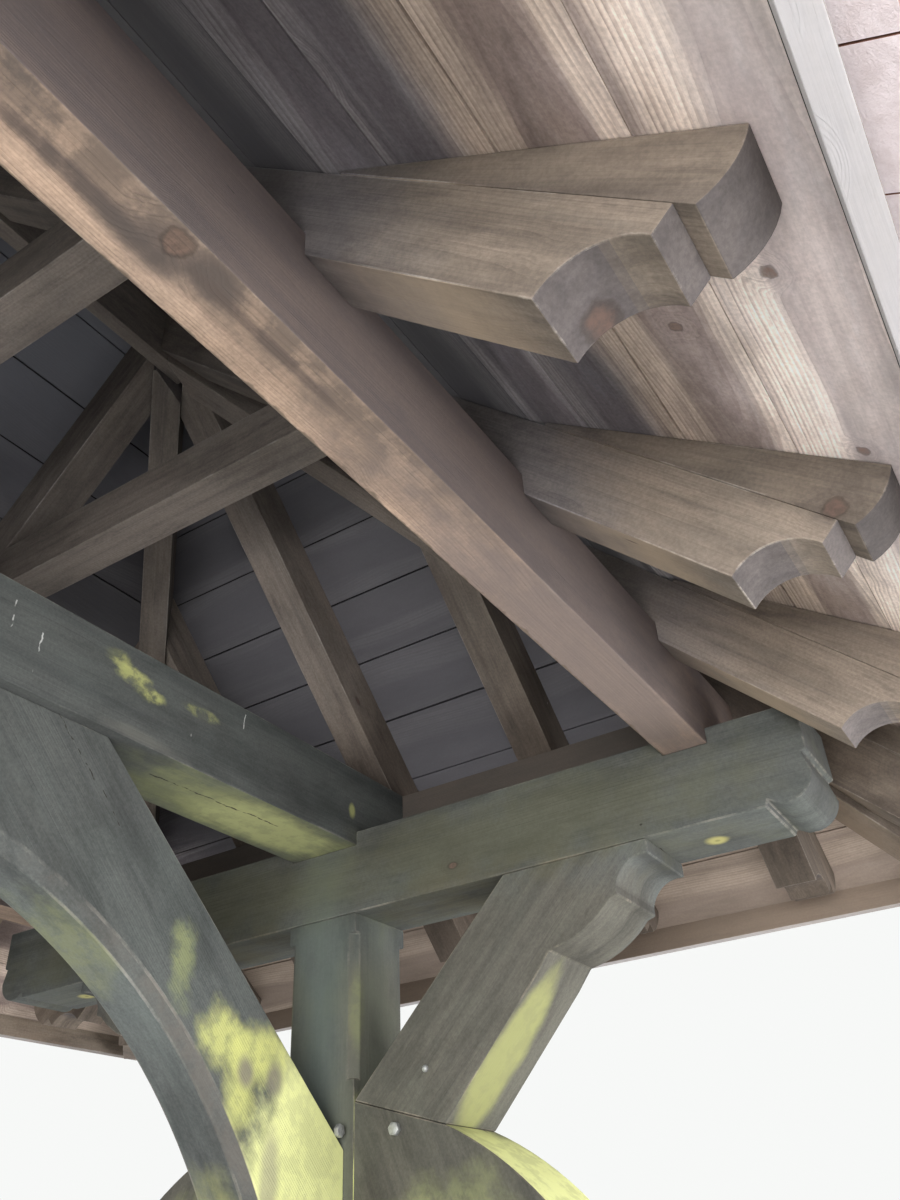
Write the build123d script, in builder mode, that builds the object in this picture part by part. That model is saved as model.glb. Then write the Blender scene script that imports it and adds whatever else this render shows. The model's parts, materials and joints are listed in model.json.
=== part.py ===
"""A timber lychgate: two posts carrying side beams, a tie beam on curved arch
braces, and a hipped, sprocketed roof of boarded rafters and plain tiles.

Frame: X runs across the passage, Y along the path, Z up. The origin is on the
ground in the middle of the passage. All sizes are in millimetres.
"""
import os
from math import cos, radians, sin, sqrt, tan

from build123d import *

# The frame of posts, beams and braces
HALF_PASSAGE = 1262.0      # centre of the path to a post's inner face
TIMBER = 200.0             # square section of posts, side beams and sills
BEAM_BOTTOM = 2250.0       # underside of the side beams above the ground
BEAM_HALF = 1202.0         # half the length of a side beam
SILL_HALF = 1250.0
COG = 34.0                 # how far the tie and the plates are let into the side beams
POST_CHAMFER = 20.0
CHAMFER_STOP = 45.0        # from a joint to the end of a post's chamfer
BRACE_JOINT = (330.0, BEAM_BOTTOM - 473.0)            # where bracket meets strut, outside
BRACE_ROOT = (TIMBER / 2, BEAM_BOTTOM - 405.0)        # and on the post's face
BRACKET_REACH = 845.0      # from the post's middle to the bracket's tip
BRACKET_HEAD = 340.0       # length of the bracket against the side beam

TIE_BOTTOM = BEAM_BOTTOM + TIMBER - COG
TIE_HALF_WIDTH = 100.0

ARCH_THICKNESS = 150.0
ARCH_TOE = 92.0            # thickness of the arch brace where it dies into the post
ARCH_RADIUS = HALF_PASSAGE - ARCH_TOE
ARCH_CENTRE_Z = BEAM_BOTTOM - 1230.0
ARCH_HEAD_X = 503.0        # where the back of the brace meets the tie beam
ARCH_HEEL_Z = BEAM_BOTTOM - 495.0
ARCH_TOE_Z = 960.0
ARCH_CHAMFER = 22.0

STRUT_CENTRE_Y = 20.0
STRUT_CENTRE_Z = BEAM_BOTTOM - 1150.0
STRUT_RADIUS = 745.0
STRUT_DEPTH = 200.0
STRUT_LEAN = 75.0          # steepest slope of the strut, in degrees

# The wall plates
PLATE_WIDTH = 100.0
PLATE_HEIGHT = 200.0
PLATE_TOP = TIE_BOTTOM + PLATE_HEIGHT
PLATE_INNER_Y = 910.0
PLATE_OUTER_Y = PLATE_INNER_Y + PLATE_WIDTH
PLATE_CLEARANCE = 8.0      # between a side plate and the side beam beside it
PLATE_INNER_X = HALF_PASSAGE + TIMBER + PLATE_CLEARANCE
PLATE_OUTER_X = PLATE_INNER_X + PLATE_WIDTH

# The roof: 45 degree slopes with flatter sprocketed eaves
RIDGE_HALF = PLATE_INNER_X - PLATE_INNER_Y   # half the ridge's length
RAFTER_SPACING = 560.0
APEX_Z = 3580.0            # where the undersides of the rafters would meet
RAFTER_WIDTH = 100.0
RAFTER_DEPTH = 126.0
RIDGE_THICKNESS = 40.0
HIP_WIDTH = 75.0
HIP_DROP = 50.0            # how far a hip hangs below the common rafters
SIDE_SPACING = (490.0, 985.0)   # the end slope's jack rafters, from its middle one
HIP_LIP = 110.0            # depth of a hip's carved end
HIP_SCALLOP = 82.0
FOOT_START = 1843.0        # distance down the slope to the carved foot
SPROCKET_TAN = 0.732
BREAK_Y = 1034.0           # where the roof changes pitch
COLLAR_BOTTOM = BEAM_BOTTOM + 745.0
COLLAR_HEIGHT = 125.0
COLLAR_WIDTH = 100.0

BOARD = 22.0
FASCIA_INNER = 1582.0
FASCIA_THICKNESS = 32.0
FASCIA_BOTTOM = BEAM_BOTTOM + 12.0
TILE_COAT = 45.0
TILE_EDGE = 1665.0
CAP_TILE = 16.0
SLOPE_REACH = RIDGE_HALF + TILE_EDGE + 100   # past the corner of the eaves, before mitring
CAP_HALF = 120.0
CAP_JOINT = 8.0            # mortar joint between the ridge tiles and the hip tiles

ROOF_TOP = APEX_Z + RAFTER_DEPTH * sqrt(2)
HIP_FACE = HIP_WIDTH / 2 * sqrt(2)


def write(piece, name):
    """Label one finished piece and write it to its file."""
    piece.part.label = name
    export_step(piece.part, f"parts/{name}.step")


def surface_z(y, lift=0.0):
    """Height of the roof surface over the rafters, lifted square to the slope."""
    steep = ROOF_TOP + lift * sqrt(2) - y
    flat = ROOF_TOP - BREAK_Y + SPROCKET_TAN * BREAK_Y - SPROCKET_TAN * y
    flat += lift * sqrt(1 + SPROCKET_TAN ** 2)
    return max(steep, flat)


def break_y(lift):
    """Where the two pitches meet on a surface lifted off the rafters."""
    return BREAK_Y - lift * (sqrt(1 + SPROCKET_TAN ** 2) - sqrt(2)) / (1 - SPROCKET_TAN)


def layer(lift, thickness, edge):
    """Section of one roof layer, from the ridge line to the eave."""
    top = lift + thickness
    low, high = break_y(lift), break_y(top)
    with BuildSketch() as section:
        with BuildLine():
            Polyline(
                (0, surface_z(0, lift)),
                (low, surface_z(low, lift)),
                (edge, surface_z(edge, lift)),
                (edge + thickness * 0.4, surface_z(edge + thickness * 0.4, top)),
                (high, surface_z(high, top)),
                (0, surface_z(0, top)),
                close=True,
            )
        make_face()
    return section.sketch


def fascia_section():
    """Fascia board, its top edge shot to the slope of the tiles."""
    outer = FASCIA_INNER + FASCIA_THICKNESS
    inner = FASCIA_INNER + BOARD * 0.4
    with BuildSketch() as section:
        with BuildLine():
            Polyline((FASCIA_INNER, FASCIA_BOTTOM), (outer, FASCIA_BOTTOM),
                     (outer, surface_z(outer, BOARD)), (inner, surface_z(inner, BOARD)),
                     (FASCIA_INNER, surface_z(FASCIA_INNER)), close=True)
        make_face()
    return section.sketch


def front_section(x=0.0):
    """Upright plane across the ridge, with +Y to its right."""
    return Plane(origin=(x, 0, 0), x_dir=(0, 1, 0), z_dir=(1, 0, 0))


def side_section(y=0.0):
    """Upright plane along the ridge, measured out from the ridge's end."""
    return Plane(origin=(RIDGE_HALF, y, 0), x_dir=(1, 0, 0), z_dir=(0, -1, 0))


def front_slope(x):
    """Plane of a rafter's side: along the slope, then square to it."""
    return Plane(origin=(x, 0, APEX_Z), x_dir=(0, 1, -1), z_dir=(1, 0, 0))


def side_slope(y):
    """The same for a rafter of the end slope."""
    return Plane(origin=(RIDGE_HALF, y, APEX_Z), x_dir=(1, 0, -1), z_dir=(0, -1, 0))


def rafter_section():
    """Rafter side view: plumb cut at the ridge and a scalloped foot."""
    cut = RIDGE_THICKNESS / 2 * sqrt(2)
    heel = FOOT_START + 86
    with BuildSketch() as section:
        with BuildLine():
            Line((FOOT_START, 0), (cut, 0))
            Line((cut, 0), (cut - RAFTER_DEPTH, RAFTER_DEPTH))
            Line((cut - RAFTER_DEPTH, RAFTER_DEPTH), (heel, RAFTER_DEPTH))
            Line((heel, RAFTER_DEPTH), (heel, 88))
            ThreePointArc((heel, 88), (FOOT_START + 23, 64), (FOOT_START, 0))
        make_face()
    return section.sketch


def sprocket_section():
    """Sprocket side view: a long wedge with a rounded nose."""
    start = BREAK_Y * sqrt(2) - RAFTER_DEPTH
    rise = (1 - SPROCKET_TAN) / (1 + SPROCKET_TAN)
    tip = FOOT_START + 108
    head = start + 40
    nose = RAFTER_DEPTH + rise * (tip - start)
    with BuildSketch() as section:
        with BuildLine():
            Line((head, RAFTER_DEPTH), (FOOT_START + 111, RAFTER_DEPTH))
            ThreePointArc((FOOT_START + 111, RAFTER_DEPTH), (FOOT_START + 121, 175), (tip, nose))
            Line((tip, nose), (head, RAFTER_DEPTH + rise * 40))
            Line((head, RAFTER_DEPTH + rise * 40), (head, RAFTER_DEPTH))
        make_face()
    return section.sketch


def keep_front(gap=HIP_FACE):
    """Cut what is being built back to the front slope's share between two hips."""
    for sign in (1, -1):
        split(bisect_by=Plane(origin=(sign * (RIDGE_HALF - gap), 0, 0), z_dir=(-sign, 1, 0)),
              keep=Keep.TOP)


def keep_side(gap=HIP_FACE):
    """The same for an end slope."""
    for sign in (1, -1):
        split(bisect_by=Plane(origin=(RIDGE_HALF + gap, 0, 0), z_dir=(1, -sign, 0)),
              keep=Keep.TOP)


def frame_side():
    """Upright plane on a right-hand timber's inner face, with +Y to its right."""
    return Plane(origin=(HALF_PASSAGE, 0, 0), x_dir=(0, 1, 0), z_dir=(1, 0, 0))


os.makedirs("parts", exist_ok=True)

# Sills, lying on the ground under each side frame
with BuildPart() as sill_right:
    with BuildSketch(frame_side()):
        with BuildLine():
            Polyline((-SILL_HALF, 0), (SILL_HALF, 0), (SILL_HALF, TIMBER - 40),
                     (SILL_HALF - 40, TIMBER), (40 - SILL_HALF, TIMBER),
                     (-SILL_HALF, TIMBER - 40), close=True)
        make_face()
    extrude(amount=TIMBER)
write(sill_right, "sill_right")

with BuildPart() as sill_left:
    mirror(sill_right.part, about=Plane.YZ)
write(sill_left, "sill_left")

# Posts, with stopped chamfers on the arrises above the braces
with BuildPart() as post_right:
    with BuildSketch(Plane.XY.offset(TIMBER)):
        with Locations((HALF_PASSAGE + TIMBER / 2, 0)):
            Rectangle(TIMBER, TIMBER)
    extrude(amount=BEAM_BOTTOM - TIMBER)
    strut_top = STRUT_CENTRE_Z + STRUT_RADIUS - STRUT_DEPTH
    for low, high in ((ARCH_TOE_Z, strut_top - CHAMFER_STOP), (BRACE_ROOT[1], BEAM_BOTTOM)):
        with BuildSketch(Plane.XY.offset(low + CHAMFER_STOP)):
            with Locations((HALF_PASSAGE + TIMBER / 2, 0)):
                with GridLocations(TIMBER, TIMBER, 2, 2):
                    Rectangle(POST_CHAMFER * sqrt(2), POST_CHAMFER * sqrt(2), rotation=45)
        extrude(amount=high - low - 2 * CHAMFER_STOP, mode=Mode.SUBTRACT)
write(post_right, "post_right")

with BuildPart() as post_left:
    mirror(post_right.part, about=Plane.YZ)
write(post_left, "post_left")

# Side beams on the posts: quirked and rounded ends, and housings for the tie and plates
with BuildPart() as side_beam_right:
    b, end = BEAM_BOTTOM, BEAM_HALF
    with BuildSketch(frame_side()):
        with BuildLine():
            Line((0, b), (end - 102, b))
            Line((end - 102, b), (end - 97, b + 12))
            Line((end - 97, b + 12), (end - 74, b))
            Line((end - 74, b), (end - 56, b - 1))
            ThreePointArc((end - 56, b - 1), (end - 14, b + 20), (end - 1, b + 50))
            Line((end - 1, b + 50), (end - 12, b + 92))
            Line((end - 12, b + 92), (end, b + 96))
            Line((end, b + 96), (end, b + TIMBER))
            Line((end, b + TIMBER), (0, b + TIMBER))
            Line((0, b + TIMBER), (0, b))
        make_face()
        mirror(about=Plane.YZ)
    extrude(amount=TIMBER)
    with BuildSketch(Plane.XY.offset(TIE_BOTTOM)):
        with Locations((HALF_PASSAGE + TIMBER / 2, 0)):
            Rectangle(TIMBER, 2 * TIE_HALF_WIDTH)
        with Locations((HALF_PASSAGE + TIMBER / 2, 0)):
            with GridLocations(TIMBER, PLATE_INNER_Y + PLATE_OUTER_Y, 1, 2):
                Rectangle(TIMBER, PLATE_WIDTH)
    extrude(amount=COG, mode=Mode.SUBTRACT)
write(side_beam_right, "side_beam_right")

with BuildPart() as side_beam_left:
    mirror(side_beam_right.part, about=Plane.YZ)
write(side_beam_left, "side_beam_left")

# Brackets from post to side beam, with carved heads
with BuildPart() as bracket_back_right:
    tip = BRACKET_REACH
    with BuildSketch(frame_side()):
        with BuildLine():
            Line(BRACE_ROOT, BRACE_JOINT)
            Line(BRACE_JOINT, (tip - 281, b - 225))
            Line((tip - 281, b - 225), (tip - 245, b - 181))
            ThreePointArc((tip - 245, b - 181), (tip - 167, b - 157), (tip - 98, b - 106))
            Line((tip - 98, b - 106), (tip - 79, b - 100))
            Line((tip - 79, b - 100), (tip - 79, b - 82))
            ThreePointArc((tip - 79, b - 82), (tip - 58, b - 47), (tip - 6, b - 31))
            Line((tip - 6, b - 31), (tip, b - 31))
            Line((tip, b - 31), (tip, b))
            Line((tip, b), (tip - BRACKET_HEAD, b))
            Line((tip - BRACKET_HEAD, b), BRACE_ROOT)
        make_face()
    extrude(amount=TIMBER)
write(bracket_back_right, "bracket_back_right")

with BuildPart() as bracket_front_right:
    mirror(bracket_back_right.part, about=Plane.XZ)
write(bracket_front_right, "bracket_front_right")

with BuildPart() as bracket_back_left:
    mirror(bracket_back_right.part, about=Plane.YZ)
write(bracket_back_left, "bracket_back_left")

with BuildPart() as bracket_front_left:
    mirror(bracket_front_right.part, about=Plane.YZ)
write(bracket_front_left, "bracket_front_left")

# Curved raking struts from post to sill
with BuildPart() as strut_back_right:
    cy, cz = STRUT_CENTRE_Y, STRUT_CENTRE_Z
    outer, inner = STRUT_RADIUS, STRUT_RADIUS - STRUT_DEPTH
    lean = radians(STRUT_LEAN)
    half = radians(STRUT_LEAN / 2 + 12)
    out_top = BRACE_JOINT
    out_mid = (cy + outer * sin(half), cz + outer * cos(half))
    out_end = (cy + outer * sin(lean), cz + outer * cos(lean))
    in_top = (TIMBER / 2, cz + sqrt(inner ** 2 - (TIMBER / 2 - cy) ** 2))
    in_mid = (cy + inner * sin(half), cz + inner * cos(half))
    in_end = (cy + inner * sin(lean), cz + inner * cos(lean))
    out_foot = (out_end[0] + (out_end[1] - TIMBER) / tan(lean), TIMBER)
    in_foot = (in_end[0] + (in_end[1] - TIMBER) / tan(lean), TIMBER)
    with BuildSketch(frame_side()):
        with BuildLine():
            Line(BRACE_ROOT, out_top)
            ThreePointArc(out_top, out_mid, out_end)
            Line(out_end, out_foot)
            Line(out_foot, in_foot)
            Line(in_foot, in_end)
            ThreePointArc(in_end, in_mid, in_top)
            Line(in_top, BRACE_ROOT)
        make_face()
    extrude(amount=TIMBER)
write(strut_back_right, "strut_back_right")

with BuildPart() as strut_front_right:
    mirror(strut_back_right.part, about=Plane.XZ)
write(strut_front_right, "strut_front_right")

with BuildPart() as strut_back_left:
    mirror(strut_back_right.part, about=Plane.YZ)
write(strut_back_left, "strut_back_left")

with BuildPart() as strut_front_left:
    mirror(strut_front_right.part, about=Plane.YZ)
write(strut_front_left, "strut_front_left")

# The tie beam and the arch braces under it
with BuildPart() as tie_beam:
    with BuildSketch(Plane.XY.offset(TIE_BOTTOM)):
        Rectangle(2 * PLATE_INNER_X, 2 * TIE_HALF_WIDTH)
    extrude(amount=PLATE_HEIGHT)
write(tie_beam, "tie_beam")

with BuildPart() as arch_brace_right:
    r, zc = ARCH_RADIUS, ARCH_CENTRE_Z
    mid = radians(45)
    with BuildSketch(Plane(origin=(0, 0, 0), x_dir=(1, 0, 0), z_dir=(0, -1, 0))):
        with BuildLine():
            Line((0, TIE_BOTTOM), (ARCH_HEAD_X, TIE_BOTTOM))
            Line((ARCH_HEAD_X, TIE_BOTTOM), (HALF_PASSAGE, ARCH_HEEL_Z))
            Line((HALF_PASSAGE, ARCH_HEEL_Z), (HALF_PASSAGE, ARCH_TOE_Z))
            Line((HALF_PASSAGE, ARCH_TOE_Z), (r, zc))
            ThreePointArc((r, zc), (r * sin(mid), zc + r * cos(mid)), (0, zc + r))
            Line((0, zc + r), (0, TIE_BOTTOM))
        make_face()
    extrude(amount=ARCH_THICKNESS / 2, both=True)
    chamfer(arch_brace_right.edges().filter_by(GeomType.CIRCLE), length=ARCH_CHAMFER)
write(arch_brace_right, "arch_brace_right")

with BuildPart() as arch_brace_left:
    mirror(arch_brace_right.part, about=Plane.YZ)
write(arch_brace_left, "arch_brace_left")

# The ring of wall plates
with BuildPart() as plate_back:
    with BuildSketch(Plane.XY.offset(TIE_BOTTOM)):
        with Locations((0, (PLATE_INNER_Y + PLATE_OUTER_Y) / 2)):
            Rectangle(2 * PLATE_OUTER_X, PLATE_WIDTH)
    extrude(amount=PLATE_HEIGHT)
write(plate_back, "plate_back")

with BuildPart() as plate_front:
    mirror(plate_back.part, about=Plane.XZ)
write(plate_front, "plate_front")

with BuildPart() as plate_right:
    with BuildSketch(Plane.XY.offset(TIE_BOTTOM)):
        with Locations(((PLATE_INNER_X + PLATE_OUTER_X) / 2, 0)):
            Rectangle(PLATE_WIDTH, 2 * PLATE_INNER_Y)
    extrude(amount=PLATE_HEIGHT)
write(plate_right, "plate_right")

with BuildPart() as plate_left:
    mirror(plate_right.part, about=Plane.YZ)
write(plate_left, "plate_left")

# The whole ring, used only to cut the birdsmouths of the rafters and hips
with BuildPart() as plate_seats:
    with BuildSketch(Plane.XY.offset(TIE_BOTTOM)):
        Rectangle(2 * PLATE_OUTER_X, 2 * PLATE_OUTER_Y)
        Rectangle(2 * PLATE_INNER_X, 2 * PLATE_INNER_Y, mode=Mode.SUBTRACT)
    extrude(amount=PLATE_HEIGHT)

# Ridge board
with BuildPart() as ridge_board:
    end, crown = RIDGE_HALF + HIP_FACE, ROOF_TOP - RIDGE_THICKNESS / 2
    with BuildSketch(Plane(origin=(0, 0, 0), x_dir=(1, 0, 0), z_dir=(0, -1, 0))):
        with BuildLine():
            Polyline((0, APEX_Z - 40), (end, APEX_Z - 40), (end, ROOF_TOP - HIP_FACE),
                     (RIDGE_HALF + RIDGE_THICKNESS / 2, crown), (0, crown), close=True)
        make_face()
        mirror(about=Plane.YZ)
    extrude(amount=RIDGE_THICKNESS / 2, both=True)
write(ridge_board, "ridge_board")

# Common and jack rafters of each slope
jacks = int((RIDGE_HALF + FOOT_START / sqrt(2)) / RAFTER_SPACING)
with BuildPart() as rafters_back:
    for step in range(-jacks, jacks + 1):
        with BuildSketch(front_slope(step * RAFTER_SPACING)):
            add(rafter_section())
        extrude(amount=RAFTER_WIDTH / 2, both=True)
    keep_front()
    add(plate_seats.part, mode=Mode.SUBTRACT)
write(rafters_back, "rafters_back")

with BuildPart() as rafters_front:
    mirror(rafters_back.part, about=Plane.XZ)
write(rafters_front, "rafters_front")

with BuildPart() as rafters_right:
    for y in (0, *SIDE_SPACING, *(-spacing for spacing in SIDE_SPACING)):
        with BuildSketch(side_slope(y)):
            add(rafter_section())
        extrude(amount=RAFTER_WIDTH / 2, both=True)
    keep_side()
    add(plate_seats.part, mode=Mode.SUBTRACT)
write(rafters_right, "rafters_right")

with BuildPart() as rafters_left:
    mirror(rafters_right.part, about=Plane.YZ)
write(rafters_left, "rafters_left")

# Sprockets that ease the pitch over the eaves
with BuildPart() as sprockets_back:
    for step in range(-jacks, jacks + 1):
        with BuildSketch(front_slope(step * RAFTER_SPACING)):
            add(sprocket_section())
        extrude(amount=RAFTER_WIDTH / 2, both=True)
    keep_front()
write(sprockets_back, "sprockets_back")

with BuildPart() as sprockets_front:
    mirror(sprockets_back.part, about=Plane.XZ)
write(sprockets_front, "sprockets_front")

with BuildPart() as sprockets_right:
    for y in (0, *SIDE_SPACING, *(-spacing for spacing in SIDE_SPACING)):
        with BuildSketch(side_slope(y)):
            add(sprocket_section())
        extrude(amount=RAFTER_WIDTH / 2, both=True)
    keep_side()
write(sprockets_right, "sprockets_right")

with BuildPart() as sprockets_left:
    mirror(sprockets_right.part, about=Plane.YZ)
write(sprockets_left, "sprockets_left")

# Boarding of the four slopes, mitred over the hips
with BuildPart() as boarding_back:
    with BuildSketch(front_section()):
        add(layer(0, BOARD, FASCIA_INNER))
    extrude(amount=SLOPE_REACH, both=True)
    keep_front(0)
write(boarding_back, "boarding_back")

with BuildPart() as boarding_front:
    mirror(boarding_back.part, about=Plane.XZ)
write(boarding_front, "boarding_front")

with BuildPart() as boarding_right:
    with BuildSketch(side_section()):
        add(layer(0, BOARD, FASCIA_INNER))
    extrude(amount=SLOPE_REACH, both=True)
    keep_side(0)
write(boarding_right, "boarding_right")

with BuildPart() as boarding_left:
    mirror(boarding_right.part, about=Plane.YZ)
write(boarding_left, "boarding_left")

# Hip rafters, backed to both slopes, one in each corner
with BuildPart() as hip_back_right:
    run = sqrt(2)
    nose, lip, throat, heel = (FASCIA_INNER - back for back in (45, 52, 142, 281))
    tip_z = surface_z(nose)
    heel_z = APEX_Z - heel - HIP_DROP
    with BuildSketch(Plane(origin=(RIDGE_HALF, 0, 0), x_dir=(1, 1, 0), z_dir=(1, -1, 0))):
        with BuildLine():
            Line((0, ROOF_TOP), (BREAK_Y * run, surface_z(BREAK_Y)))
            Line((BREAK_Y * run, surface_z(BREAK_Y)), (nose * run, tip_z))
            Line((nose * run, tip_z), (lip * run, tip_z - HIP_LIP))
            Line((lip * run, tip_z - HIP_LIP), (throat * run, tip_z - HIP_LIP + 20))
            ThreePointArc((throat * run, tip_z - HIP_LIP + 20),
                          ((heel + 49) * run, (tip_z - HIP_LIP + 20 + heel_z) / 2 + HIP_SCALLOP),
                          (heel * run, heel_z))
            Line((heel * run, heel_z), (0, APEX_Z - HIP_DROP))
            Line((0, APEX_Z - HIP_DROP), (0, ROOF_TOP))
        make_face()
    extrude(amount=HIP_WIDTH / 2, both=True)
    split(bisect_by=Plane(origin=(0, RIDGE_THICKNESS / 2, 0), z_dir=(0, 1, 0)), keep=Keep.TOP)
    add(plate_seats.part, mode=Mode.SUBTRACT)
    add(boarding_back.part, mode=Mode.SUBTRACT)
    add(boarding_right.part, mode=Mode.SUBTRACT)
write(hip_back_right, "hip_back_right")

with BuildPart() as hip_front_right:
    mirror(hip_back_right.part, about=Plane.XZ)
write(hip_front_right, "hip_front_right")

with BuildPart() as hip_back_left:
    mirror(hip_back_right.part, about=Plane.YZ)
write(hip_back_left, "hip_back_left")

with BuildPart() as hip_front_left:
    mirror(hip_front_right.part, about=Plane.YZ)
write(hip_front_left, "hip_front_left")

# Collars between the three pairs of common rafters
with BuildPart() as collars:
    low, high = APEX_Z - COLLAR_BOTTOM, APEX_Z - COLLAR_BOTTOM - COLLAR_HEIGHT
    for step in (-1, 0, 1):
        with BuildSketch(front_section(step * RAFTER_SPACING)):
            Polygon((-low, COLLAR_BOTTOM), (low, COLLAR_BOTTOM),
                    (high, COLLAR_BOTTOM + COLLAR_HEIGHT), (-high, COLLAR_BOTTOM + COLLAR_HEIGHT),
                    align=None)
        extrude(amount=COLLAR_WIDTH / 2, both=True)
write(collars, "collars")

# Fascia boards and the coat of tiles, slope by slope
with BuildPart() as fascia_back:
    with BuildSketch(front_section()):
        add(fascia_section())
    extrude(amount=SLOPE_REACH, both=True)
    keep_front(0)
write(fascia_back, "fascia_back")

with BuildPart() as fascia_front:
    mirror(fascia_back.part, about=Plane.XZ)
write(fascia_front, "fascia_front")

with BuildPart() as fascia_right:
    with BuildSketch(side_section()):
        add(fascia_section())
    extrude(amount=SLOPE_REACH, both=True)
    keep_side(0)
write(fascia_right, "fascia_right")

with BuildPart() as fascia_left:
    mirror(fascia_right.part, about=Plane.YZ)
write(fascia_left, "fascia_left")

with BuildPart() as tiles_back:
    with BuildSketch(front_section()):
        add(layer(BOARD, TILE_COAT, TILE_EDGE))
    extrude(amount=SLOPE_REACH, both=True)
    keep_front(0)
write(tiles_back, "tiles_back")

with BuildPart() as tiles_front:
    mirror(tiles_back.part, about=Plane.XZ)
write(tiles_front, "tiles_front")

with BuildPart() as tiles_right:
    with BuildSketch(side_section()):
        add(layer(BOARD, TILE_COAT, TILE_EDGE))
    extrude(amount=SLOPE_REACH, both=True)
    keep_side(0)
write(tiles_right, "tiles_right")

with BuildPart() as tiles_left:
    mirror(tiles_right.part, about=Plane.YZ)
write(tiles_left, "tiles_left")

# Ridge tiles, and hip tiles that follow both pitches
with BuildPart() as ridge_tiles:
    crown = surface_z(0, BOARD + TILE_COAT)
    with BuildSketch(front_section()):
        with BuildLine():
            Polyline((0, crown), (CAP_HALF, crown - CAP_HALF),
                     (CAP_HALF + CAP_TILE * 0.7, crown - CAP_HALF + CAP_TILE * 0.7),
                     (0, crown + CAP_TILE * sqrt(2)), close=True)
        make_face()
        mirror(about=Plane.YZ)
    extrude(amount=RIDGE_HALF, both=True)
write(ridge_tiles, "ridge_tiles")

with BuildPart() as hip_tiles:
    with BuildSketch(front_section()):
        add(layer(BOARD + TILE_COAT, CAP_TILE, TILE_EDGE + 8))
    extrude(amount=SLOPE_REACH)
    keep_front(0)
    split(bisect_by=Plane(origin=(RIDGE_HALF - CAP_HALF * sqrt(2), 0, 0), z_dir=(1, -1, 0)),
          keep=Keep.TOP)
    mirror(about=Plane(origin=(RIDGE_HALF, 0, 0), z_dir=(1, -1, 0)))
    split(bisect_by=Plane(origin=(0, 10, 0), z_dir=(0, 1, 0)), keep=Keep.TOP)
    split(bisect_by=Plane(origin=(RIDGE_HALF + CAP_JOINT, 0, 0), z_dir=(1, 0, 0)), keep=Keep.TOP)
    mirror(about=Plane.XZ)
    mirror(about=Plane.YZ)
write(hip_tiles, "hip_tiles")
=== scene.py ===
"""The looks of a timber lychgate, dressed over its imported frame.

X runs across the passage, Y along the path and Z up, in metres. The camera
stands inside the front eaves and looks up past the front wall plate to the
right-hand post, its arch brace, and the underside of the hipped roof.
"""
import functools
import json
import logging
import math
import random
from dataclasses import dataclass
from enum import Enum
from typing import Iterable

import bmesh
import bpy
from mathutils import Matrix, Vector, noise

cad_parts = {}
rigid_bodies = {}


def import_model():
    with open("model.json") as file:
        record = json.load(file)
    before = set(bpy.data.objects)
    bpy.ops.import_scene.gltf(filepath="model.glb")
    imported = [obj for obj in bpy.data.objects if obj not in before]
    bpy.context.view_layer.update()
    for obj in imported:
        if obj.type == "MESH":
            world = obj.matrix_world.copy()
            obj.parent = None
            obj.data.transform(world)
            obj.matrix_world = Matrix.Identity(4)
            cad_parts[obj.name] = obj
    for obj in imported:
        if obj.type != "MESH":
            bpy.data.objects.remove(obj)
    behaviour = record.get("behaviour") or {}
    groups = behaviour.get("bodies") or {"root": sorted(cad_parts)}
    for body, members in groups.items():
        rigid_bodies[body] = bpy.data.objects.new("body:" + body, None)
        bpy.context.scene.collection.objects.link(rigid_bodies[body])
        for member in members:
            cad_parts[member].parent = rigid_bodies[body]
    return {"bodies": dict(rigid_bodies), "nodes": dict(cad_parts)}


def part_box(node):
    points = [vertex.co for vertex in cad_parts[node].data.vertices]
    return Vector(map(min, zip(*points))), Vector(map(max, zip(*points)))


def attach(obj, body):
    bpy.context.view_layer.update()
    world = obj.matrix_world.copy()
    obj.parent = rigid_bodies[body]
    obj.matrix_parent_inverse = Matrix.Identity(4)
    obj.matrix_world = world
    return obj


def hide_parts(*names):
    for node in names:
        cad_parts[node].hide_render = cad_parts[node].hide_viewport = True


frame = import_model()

LOG = logging.getLogger("lychgate")
BODY = next(iter(frame["bodies"]))
Colour = tuple[float, float, float]
Place = tuple[float, float, float]
Socket = bpy.types.NodeSocket
X, Y, Z = Vector((1, 0, 0)), Vector((0, 1, 0)), Vector((0, 0, 1))
SIDES = (("right", 1), ("left", -1))
ENDS = (("back", 1), ("front", -1))
WELD = 1e-5
FLAT = math.radians(0.6)
WAVE_SEED = 1


class Slot(Enum):
    """The record's finishes."""

    TIMBER = "timber"
    RAFTER = "rafter"
    BOARDING = "boarding"
    TILE = "tile"


@dataclass(frozen=True)
class Texture:
    """The settings of one fractal noise.

    Attributes:
        scale: Features per metre.
        octaves: How many octaves it has.
        roughness: How strong the finer octaves are.
        grain: Features per metre along and across the grain, if it follows the grain.
    """

    scale: float = 1.0
    octaves: float = 3.0
    roughness: float = 0.55
    grain: tuple[float, float] | None = None


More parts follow.
